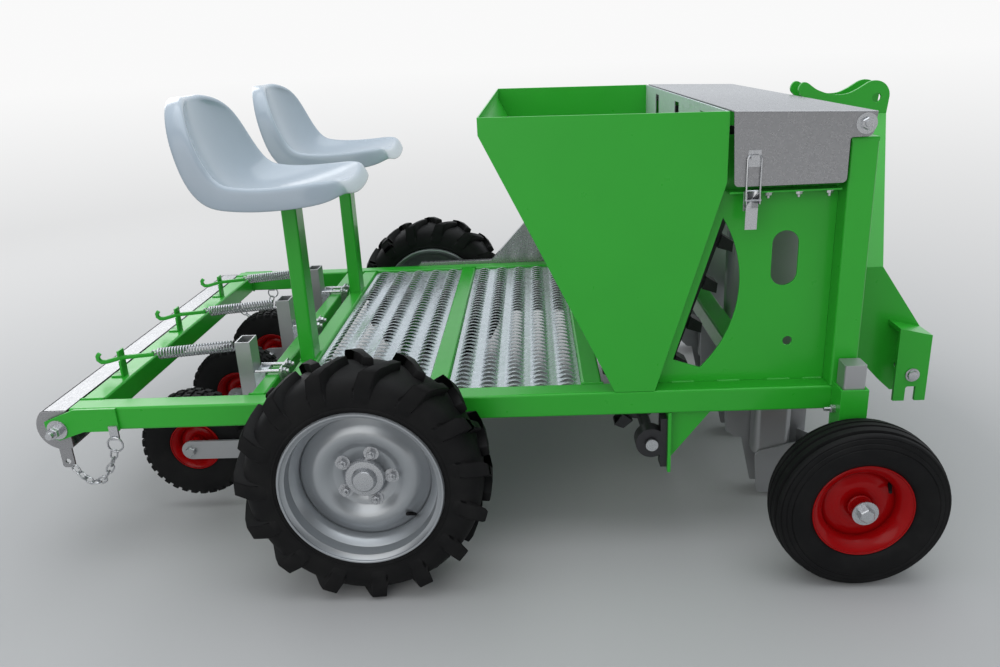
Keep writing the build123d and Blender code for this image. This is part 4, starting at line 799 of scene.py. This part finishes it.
front_hub = [(-0.050, 0.0130), (-0.050, 0.0205), (0.0130, 0.0205), (0.0130, 0.0275), (0.0200, 0.0275),
             (0.0215, 0.0255), (0.0215, 0.0205), (0.0440, 0.0205), (0.0465, 0.0185), (0.0465, 0.0130)]
for side, name in ((-1, "right"), (1, "left")):
    centre = Vector((front_centre_x, side * front_y, front_radius))
    bm = bmesh.new()
    section = front_half_section + [(-across, radius) for across, radius in reversed(front_half_section)]
    spun(bm, section, centre, closed=True, steps=96)
    ribbed_tyre = make_piece(bm, f"ribbed_tyre_{name}", tyre_rubber, f"front_wheel_{name}")
    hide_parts(f"front_tyre_{name}")
    bm = bmesh.new()
    for section in (front_barrel, front_disc):
        spun(bm, [(side * along, radius) for along, radius in section], centre, steps=72)
    dished_rim = make_piece(bm, f"dished_rim_{name}", rim_red, f"front_wheel_{name}")
    sheet = dished_rim.modifiers.new("sheet", "SOLIDIFY")
    sheet.thickness = 0.003
    sheet.offset = 0.0
    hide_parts(f"front_rim_{name}")
    bm = bmesh.new()
    spun(bm, [(side * along, radius) for along, radius in front_hub], centre, closed=True, steps=40)
    make_piece(bm, f"front_hub_{name}", rim_red, f"front_wheel_{name}")
    bm = bmesh.new()
    bmesh.ops.create_cone(bm, cap_ends=True, segments=12, radius1=0.0050, radius2=0.0038, depth=0.032,
                          matrix=pointing(centre + Vector((0.062, side * 0.020, 0.046)), (-0.3, side * 0.9, -0.2)))
    make_piece(bm, f"front_valve_{name}", tyre_rubber, f"front_wheel_{name}")
    bm = bmesh.new()
    hex_head(bm, centre + Vector((0, side * 0.0490, 0)), (0, side, 0), 0.031, 0.0145, washer=0.003)
    hex_head(bm, (front_centre_x - 0.0314, side * 0.6814, 0.389), (-1, 0, 0), 0.017, 0.011, shank=0.014)
    make_piece(bm, f"front_axle_nut_{name}", plated_steel, "frame")

# Press wheels: narrow tyres with small tread blocks on red rims, each on one side of a hanging arm.
# Two clamp plates and four bolts hold each arm's post against the pivot tube.
dress(["press_arm_right", "press_arm_middle", "press_arm_left"], grey_satin)
dress(["press_clamps"], bright_zinc)
press_centre_x, press_centre_z = -0.852, 0.203
row_pitch = 0.375
arm_side = 0.055
pivot_low, pivot_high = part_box("pivot_tube")
bm = bmesh.new()
for row in (-1, 0, 1):
    arm_y = row * row_pitch - arm_side
    block(bm, (pivot_high.x, arm_y - 0.036, pivot_low.z - 0.017),
          (pivot_high.x + 0.006, arm_y + 0.036, pivot_high.z + 0.017))
    for y in (arm_y - 0.026, arm_y + 0.026):
        for z in (pivot_low.z - 0.008, pivot_high.z + 0.008):
            wire(bm, [(pivot_low.x - 0.026, y, z), (pivot_high.x + 0.024, y, z)], 0.005, sides=12)
            hex_head(bm, (pivot_high.x + 0.006, y, z), (1, 0, 0), 0.016, 0.009, washer=0.002)
    hex_head(bm, (press_centre_x, arm_y - 0.004, press_centre_z), (0, -1, 0), 0.025, 0.0125)
make_piece(bm, "clamp_bolts", plated_steel, "frame")
press_half_section = [
    (0.0265, 0.0665), (0.0268, 0.0710), (0.0330, 0.0740), (0.0385, 0.0850), (0.0415, 0.1000), (0.0420, 0.1170),
    (0.0405, 0.1320), (0.0370, 0.1425), (0.0310, 0.1470), (0.0200, 0.1490), (0.0060, 0.1496),
]
press_barrel = [
    (-0.0330, 0.0685), (-0.0318, 0.0705), (-0.0295, 0.0685), (-0.0275, 0.0645), (-0.0180, 0.0545), (-0.0120, 0.0520),
    (0.0120, 0.0520), (0.0180, 0.0545), (0.0275, 0.0645), (0.0295, 0.0685), (0.0318, 0.0705), (0.0330, 0.0685),
]
press_disc = [(-0.0010, 0.0520), (-0.0020, 0.0470), (-0.0060, 0.0420), (-0.0070, 0.0350), (-0.0070, 0.0200)]
press_hub = [(-0.0390, 0.0105), (-0.0390, 0.0215), (0.0390, 0.0215), (0.0390, 0.0105)]
blocks = 34
block_rows = ((0.0, 0.0090), (0.0215, 0.0075), (-0.0215, 0.0075), (0.0345, 0.0045), (-0.0345, 0.0045))
for row, name in ((-1, "right"), (0, "middle"), (1, "left")):
    centre = Vector((press_centre_x, row * row_pitch, press_centre_z))
    bm = bmesh.new()
    for index, (across, half_length) in enumerate(block_rows):
        crown = 0.1550 - 140 * abs(across) ** 3
        middle = centre + Vector((0, across, crown - 0.007))
        half_size = Vector((0.0085, half_length, 0.007))
        bmesh.ops.rotate(bm, cent=centre, verts=block(bm, middle - half_size, middle + half_size),
                         matrix=Matrix.Rotation((index % 2) * math.pi / blocks, 3, "Y"))
    bmesh.ops.bevel(bm, geom=bm.edges[:], offset=0.0012, affect="EDGES", segments=1, profile=0.5, material=-1)
    first = bm.verts[:] + bm.edges[:] + bm.faces[:]
    for copy in range(1, blocks):
        copied = bmesh.ops.duplicate(bm, geom=first)["geom"]
        bmesh.ops.rotate(bm, cent=centre, matrix=Matrix.Rotation(copy * 2 * math.pi / blocks, 3, "Y"),
                         verts=[part for part in copied if isinstance(part, bmesh.types.BMVert)])
    section = press_half_section + [(-across, radius) for across, radius in reversed(press_half_section)]
    spun(bm, section, centre, closed=True, steps=84)
    block_tyre = make_piece(bm, f"block_tyre_{name}", tyre_rubber, f"press_wheel_{name}")
    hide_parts(f"press_tyre_{name}")
    bm = bmesh.new()
    for section in (press_barrel, press_disc):
        spun(bm, section, centre, steps=60)
    small_rim = make_piece(bm, f"small_rim_{name}", rim_red, f"press_wheel_{name}")
    sheet = small_rim.modifiers.new("sheet", "SOLIDIFY")
    sheet.thickness = 0.003
    sheet.offset = 0.0
    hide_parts(f"press_rim_{name}")
    bm = bmesh.new()
    spun(bm, press_hub, centre, closed=True, steps=36)
    make_piece(bm, f"press_hub_{name}", rim_red, f"press_wheel_{name}")

# Springs and levers: zinc-plated tension springs between each post and a notched lever on the rear beam.
# A coil is one round of wire spun along its axis; hooks at both ends hold it.
# Each lever is a flat bar, laid in the notch of its bracket, with its rear end bent up into a hook.
lever_line = ((-0.9065, 0.4920), (-0.9980, 0.4850), (-1.0400, 0.4745), (-1.0540, 0.4740), (-1.0620, 0.4810),
              (-1.0625, 0.4900), (-1.0560, 0.4985))
lever_half_width, lever_half_thickness = 0.0055, 0.0040
bm = bmesh.new()
for row in (-1, 0, 1):
    sections = []
    for index, (x, z) in enumerate(lever_line):
        before, after = lever_line[max(index - 1, 0)], lever_line[min(index + 1, len(lever_line) - 1)]
        ahead = Vector((after[0] - before[0], 0, after[1] - before[1])).normalized()
        across = Vector((-ahead.z, 0, ahead.x)) * lever_half_width
        middle = Vector((x, row * row_pitch - arm_side, z))
        beside = Vector((0, lever_half_thickness, 0))
        sections.append([middle + across + beside, middle + across - beside,
                         middle - across - beside, middle - across + beside])
    sweep(bm, sections)
bmesh.ops.bevel(bm, geom=[edge for edge in bm.edges if edge.calc_face_angle(0.0) > 1.0], offset=0.0012,
                affect="EDGES", segments=2, profile=0.5, material=-1)
hooked_levers = make_piece(bm, "hooked_levers", green_enamel, "frame")
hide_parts("spring_levers")
bracket_x, bracket_half_width, bracket_half_thickness = -0.998, 0.015, 0.003
bracket_top, notch_floor, notch_roof, notch_end = 0.508, 0.4792, 0.4920, 0.005
foot_length, foot_thickness = 0.028, 0.004
bm = bmesh.new()
for row in (-1, 0, 1):
    middle_y = row * row_pitch - arm_side
    outline = [(-bracket_half_width, beam_high.z), (bracket_half_width, beam_high.z),
               (bracket_half_width, bracket_top), (-bracket_half_width, bracket_top),
               (-bracket_half_width, notch_roof), (notch_end, notch_roof),
               (notch_end, notch_floor), (-bracket_half_width, notch_floor)]
    sweep(bm, [[(bracket_x + face, middle_y + y, z) for y, z in outline]
               for face in (-bracket_half_thickness, bracket_half_thickness)])
    block(bm, (bracket_x - bracket_half_thickness - foot_length, middle_y - bracket_half_width, beam_high.z),
          (bracket_x - bracket_half_thickness, middle_y + bracket_half_width, beam_high.z + foot_thickness))
bmesh.ops.bevel(bm, geom=bm.edges[:], offset=0.0008, affect="EDGES", segments=2, profile=0.5, material=-1)
notched_brackets = make_piece(bm, "notched_brackets", green_enamel, "frame")
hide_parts("lever_brackets")
spring_front = Vector((-0.684, 0, 0.508))
spring_rear = Vector((-0.905, 0, 0.492))
coil_radius, coil_wire = 0.0135, 0.0024
coil_turns, coil_steps = 26, 14
spring_way = (spring_front - spring_rear).normalized()
bm = bmesh.new()
for row in (-1, 0, 1):
    shift = Vector((0, row * row_pitch - arm_side, 0))
    start, end = spring_rear + shift + spring_way * 0.012, spring_front + shift - spring_way * 0.004
    spot = start + Vector((0, coil_radius, 0))
    ring = bmesh.ops.create_circle(bm, cap_ends=False, segments=8, radius=coil_wire,
                                   matrix=pointing(spot, spring_way.cross((0, 1, 0))))["verts"]
    around = list({edge for vert in ring for edge in vert.link_edges})
    rounds = coil_turns * coil_steps
    bmesh.ops.spin(bm, geom=ring + around, cent=start, axis=spring_way, dvec=(end - start) / rounds,
                   angle=2 * math.pi * coil_turns, steps=rounds, use_merge=False)
    for tip, way in ((start, -spring_way), (end, spring_way)):
        hook = [tip + Vector((0, coil_radius, 0)), tip + way * 0.006 + Vector((0, coil_radius * 0.7, 0.003))]
        hook += [tip + way * (0.012 + 0.008 * math.sin(turn)) + Vector((0, 0, -0.008 * math.cos(turn) + 0.002))
                 for turn in (index * math.pi / 6 for index in range(1, 9))]
        wire(bm, hook, coil_wire)
coil_springs = make_piece(bm, "coil_springs", plated_steel, "frame")
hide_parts("springs")

# Three-point hitch: mast plates, bent arms, top-link heads and lower-link clevises, all in frame green.
# Each head is cut from plate in one long curve: a hooked rear end, a hollow back and a round eye.
dress(["mast", "mast_arms", "lower_clevises"], green_enamel)
head_inner, head_outer = 0.032, 0.042
eye = (1.097, 1.043, 0.01285)
eye_round, eye_middle = 0.043, (1.089, 1.0465)
head_back = [(0.893, 1.052), (0.881, 1.066), (0.880, 1.080), (0.889, 1.092), (0.903, 1.091), (0.932, 1.071),
             (0.972, 1.0575), (1.012, 1.0565), (1.042, 1.068)]
outline = [Vector((0.870, 0.850)), Vector((0.870, 0.910))]
for index in range(len(head_back) - 1):
    around = [Vector(head_back[min(max(index + step, 0), len(head_back) - 1)]) for step in (-1, 0, 1, 2)]
    outline += mathutils.geometry.interpolate_bezier(
        around[1], around[1] + (around[2] - around[0]) / 6, around[2] - (around[3] - around[1]) / 6, around[2], 7)[:-1]
outline.append(Vector(head_back[-1]))
outline += [Vector(eye_middle) + eye_round * Vector((math.cos(turn), math.sin(turn)))
            for turn in (math.radians(118 - 8 * step) for step in range(17))]
outline += [Vector((1.1275, 1.000)), Vector((1.0055, 1.000))]
bm = bmesh.new()
for side in (-1, 1):
    cut_plate(bm, outline, side * head_inner, side * head_outer, holes=[eye])
link_heads = make_piece(bm, "link_heads", green_enamel, "frame")
rolled = link_heads.modifiers.new("broken_edges", "BEVEL")
rolled.width = 0.0012
rolled.segments = 2
rolled.limit_method = "ANGLE"
rolled.angle_limit = math.radians(50)
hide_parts("mast_heads")
lower_pin_x, lower_pin_z, lower_pin_radius = 1.092, 0.373, 0.0135
clevis_face, mast_face = 0.455, 0.370
bm = bmesh.new()
for side in (-1, 1):
    wire(bm, [(lower_pin_x, side * y, lower_pin_z) for y in (mast_face - 0.014, clevis_face + 0.010)],
         lower_pin_radius, sides=24)
    wire(bm, [(lower_pin_x, side * y, lower_pin_z) for y in (clevis_face + 0.0004, clevis_face + 0.0035)], 0.0185,
         sides=24)
bmesh.ops.bevel(bm, geom=[edge for edge in bm.edges if edge.calc_face_angle(0.0) > math.radians(60)], offset=0.0012,
                affect="EDGES", segments=2, profile=0.5, material=-1)
make_piece(bm, "lower_link_pins", plated_steel, "frame")

# Levelling board: a rounded zinc-coated trough that hangs on bolts through the rear end plates.
# A flat sheet closes the trough's top and throws soil off.
dress(["rear_end_plates"], green_enamel)
dress(["levelling_board"], satin_zinc)
end_low, end_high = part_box("rear_end_plates")
end_face = 0.658
pivot_bolt = Vector((-1.072, end_face, 0.383))
bm = bmesh.new()
for side in (-1, 1):
    spot = Vector((pivot_bolt.x, side * pivot_bolt.y, pivot_bolt.z))
    hex_head(bm, spot, (0, side, 0), 0.027, 0.013, washer=0.003)
    hex_head(bm, spot + Vector((0, side * 0.018, 0)), (0, side, 0), 0.027, 0.010)
    wire(bm, [spot + Vector((0, side * 0.026, 0)), spot + Vector((0, side * 0.0415, 0))], 0.0088, sides=20)
make_piece(bm, "board_nuts", plated_steel, "frame")
board_low, board_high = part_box("levelling_board")
top_rear, top_front, top_sheet = -1.1120, -1.0505, 0.0015
bm = bmesh.new()
block(bm, (top_rear, board_low.y + 0.001, board_high.z - top_sheet), (top_front, board_high.y - 0.001, board_high.z))
bmesh.ops.bevel(bm, geom=bm.edges[:], offset=0.0005, affect="EDGES", segments=1, profile=0.5, material=-1)
make_piece(bm, "board_top", satin_zinc, "levelling_board")

# Tether chains: one each side from a lug on the end plate to the tab that hangs from the board's end.
# They hang slack, so the last two links ride with the board.
ring_radius, ring_wire = 0.019, 0.0025
link_pitch, link_half_width, link_wire = 0.0265, 0.0078, 0.0024
chain_path = [(-0.9290, 0.667, 0.3420), (-0.9460, 0.667, 0.2907), (-0.9769, 0.666, 0.2450), (-1.0020, 0.663, 0.2340),
              (-1.0260, 0.658, 0.2420), (-1.0480, 0.652, 0.2620), (-1.0720, 0.6435, 0.2885)]


def chain_points(path, start, pitch):
    """Points a chain's pitch apart along a path, from a distance on."""
    spots, gone = [], start
    for first, second in zip(path, path[1:]):
        first, second = Vector(first), Vector(second)
        length = (second - first).length
        while gone <= length:
            spots.append(first.lerp(second, gone / length))
            gone += pitch
        gone -= length
    return spots


for side, name in ((-1, "right"), (1, "left")):
    hanging, moving = bmesh.new(), bmesh.new()
    block(hanging, (-0.940, side * end_face, 0.352), (-0.918, side * (end_face + 0.006), 0.390))
    ring = Vector((chain_path[0][0], side * chain_path[0][1], chain_path[0][2]))
    wire(hanging, [ring + ring_radius * Vector((math.sin(turn), 0, math.cos(turn)))
                   for turn in (index * math.pi / 12 for index in range(24))], ring_wire, closed=True)
    links = chain_points([(x, side * y, z) for x, y, z in chain_path], ring_radius - 0.002,
                         link_pitch - 2 * link_wire)
    for index, (first, second) in enumerate(zip(links, links[1:])):
        ahead = (second - first).normalized()
        flat = Vector((0, 1, 0)) if index % 2 else ahead.cross((0, 1, 0))
        flat = (flat - ahead * flat.dot(ahead)).normalized()
        middle = (first + second) / 2
        straight = link_pitch / 2 - link_half_width
        loop = []
        for end in (1, -1):
            loop += [middle + end * ahead * (straight + link_half_width * math.sin(turn))
                     + end * flat * link_half_width * math.cos(turn)
                     for turn in (step * math.pi / 5 for step in range(6))]
        wire(moving if index >= len(links) - 3 else hanging, loop, link_wire, closed=True)
    make_piece(hanging, f"tether_chain_{name}", plated_steel, "frame")
    make_piece(moving, f"tether_end_{name}", plated_steel, "levelling_board")

# Studio: a plain pale floor that runs far back, a broad soft sky light overhead and low fills.
# The camera stands where the photograph was taken, a little above hopper height on the right side.
floor_mesh = bpy.data.meshes.new("floor")
floor_bm = bmesh.new()
bmesh.ops.create_grid(floor_bm, x_segments=1, y_segments=1, size=60.0)
floor_bm.to_mesh(floor_mesh)
floor_bm.free()
floor = bpy.data.objects.new("floor", floor_mesh)
bpy.context.scene.collection.objects.link(floor)
fade_start, fade_half, fade_gain = 1.5, 2.2, 1.04
floor_paint, tree, shader = bare_material("pale_floor")
shader.inputs["Base Color"].default_value = (0.42, 0.42, 0.42, 1)
shader.inputs["Roughness"].default_value = 0.9
place = add_node(tree, "ShaderNodeTexCoord")
reach = add_node(tree, "ShaderNodeVectorMath", operation="LENGTH")
tree.links.new(place.outputs["Object"], reach.inputs[0])
away = math_node(tree, "MAXIMUM", math_node(tree, "SUBTRACT", reach.outputs["Value"], fade_start), 0.0)
fade = math_node(tree, "DIVIDE", away, math_node(tree, "ADD", away, fade_half))
fade = math_node(tree, "MINIMUM", math_node(tree, "MULTIPLY", fade, fade_gain), 1.0)
rays = add_node(tree, "ShaderNodeLightPath")
seen = math_node(tree, "MAXIMUM", rays.outputs["Is Camera Ray"], rays.outputs["Is Transmission Ray"])
seen = math_node(tree, "MAXIMUM", seen, rays.outputs["Is Glossy Ray"])
white = add_node(tree, "ShaderNodeEmission", in_Color=(0.95, 0.95, 0.95, 1))
blend = add_node(tree, "ShaderNodeMixShader")
tree.links.new(math_node(tree, "MULTIPLY", fade, seen), blend.inputs["Fac"])
tree.links.new(shader.outputs["BSDF"], blend.inputs[1])
tree.links.new(white.outputs["Emission"], blend.inputs[2])
tree.links.new(blend.outputs["Shader"], tree.nodes["Material Output"].inputs["Surface"])
floor_mesh.materials.append(floor_paint)
floor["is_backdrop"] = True

world = bpy.data.worlds.new("studio")
world.use_nodes = True
tree = world.node_tree
daylight = tree.nodes["Background"]
daylight.inputs["Color"].default_value = (0.90, 0.95, 1.0, 1)
daylight.inputs["Strength"].default_value = 0.70
backdrop = add_node(tree, "ShaderNodeBackground", in_Color=(0.95, 0.95, 0.95, 1), in_Strength=1.0)
mirrored = add_node(tree, "ShaderNodeBackground", in_Color=(0.92, 0.96, 1.0, 1))
way = add_node(tree, "ShaderNodeTexCoord")
parts = add_node(tree, "ShaderNodeSeparateXYZ")
tree.links.new(way.outputs["Generated"], parts.inputs["Vector"])
behind = add_node(tree, "ShaderNodeMapRange", interpolation_type="SMOOTHSTEP", in_From_Min=-0.1, in_From_Max=0.6)
tree.links.new(parts.outputs["Y"], behind.inputs["Value"])
above = add_node(tree, "ShaderNodeMapRange", interpolation_type="SMOOTHSTEP", in_From_Min=0.25, in_From_Max=0.9)
tree.links.new(parts.outputs["Z"], above.inputs["Value"])
glow = math_node(tree, "MAXIMUM", behind.outputs["Result"], above.outputs["Result"])
tree.links.new(math_node(tree, "MULTIPLY_ADD", glow, 0.90, 0.10), mirrored.inputs["Strength"])
rays = add_node(tree, "ShaderNodeLightPath")
unlit = math_node(tree, "MAXIMUM", rays.outputs["Is Camera Ray"], rays.outputs["Is Transmission Ray"])
reflected = add_node(tree, "ShaderNodeMixShader")
tree.links.new(rays.outputs["Is Glossy Ray"], reflected.inputs["Fac"])
tree.links.new(daylight.outputs["Background"], reflected.inputs[1])
tree.links.new(mirrored.outputs["Background"], reflected.inputs[2])
choice = add_node(tree, "ShaderNodeMixShader")
tree.links.new(unlit, choice.inputs["Fac"])
tree.links.new(reflected.outputs["Shader"], choice.inputs[1])
tree.links.new(backdrop.outputs["Background"], choice.inputs[2])
tree.links.new(choice.outputs["Shader"], tree.nodes["World Output"].inputs["Surface"])
bpy.context.scene.world = world

for name, spot, aim, size, watts, tint in [
    ("sky_panel", (0.2, 0.0, 4.4), (0, 0, 0.4), 5.0, 120.0, (0.96, 0.98, 1.0)),
    ("front_fill", (-1.6, -4.8, 2.4), (0, 0, 0.5), 3.5, 55.0, (1.0, 0.98, 0.95)),
    ("rear_fill", (-3.2, 3.2, 2.6), (0, 0, 0.5), 2.5, 40.0, (1.0, 1.0, 1.0)),
]:
    lamp = bpy.data.lights.new(name, "AREA")
    lamp.size = size
    lamp.energy = watts
    lamp.color = tint
    lamp_object = bpy.data.objects.new(name, lamp)
    lamp_object.location = spot
    lamp_object.rotation_euler = (Vector(aim) - Vector(spot)).to_track_quat("-Z", "Y").to_euler()
    bpy.context.scene.collection.objects.link(lamp_object)

camera = bpy.data.cameras.new("photo_camera")
camera.lens = 29.54
camera.sensor_width = 36.0
camera_object = bpy.data.objects.new("photo_camera", camera)
yaw, pitch, roll = math.radians(2.80), math.radians(19.158), math.radians(-2.891)
across = Vector((math.cos(yaw), math.sin(yaw), 0))
ahead = Vector((-math.sin(yaw) * math.cos(pitch), math.cos(yaw) * math.cos(pitch), -math.sin(pitch)))
upward = across.cross(ahead)
turned_across = math.cos(roll) * across + math.sin(roll) * upward
turned_upward = -math.sin(roll) * across + math.cos(roll) * upward
turn = Matrix((turned_across, turned_upward, -ahead)).transposed()
camera_object.matrix_world = Matrix.Translation((0.12597, -2.46415, 1.22394)) @ turn.to_4x4()
bpy.context.scene.collection.objects.link(camera_object)
bpy.context.scene.camera = camera_object
bpy.context.scene.view_settings.view_transform = "Standard"

low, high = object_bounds()
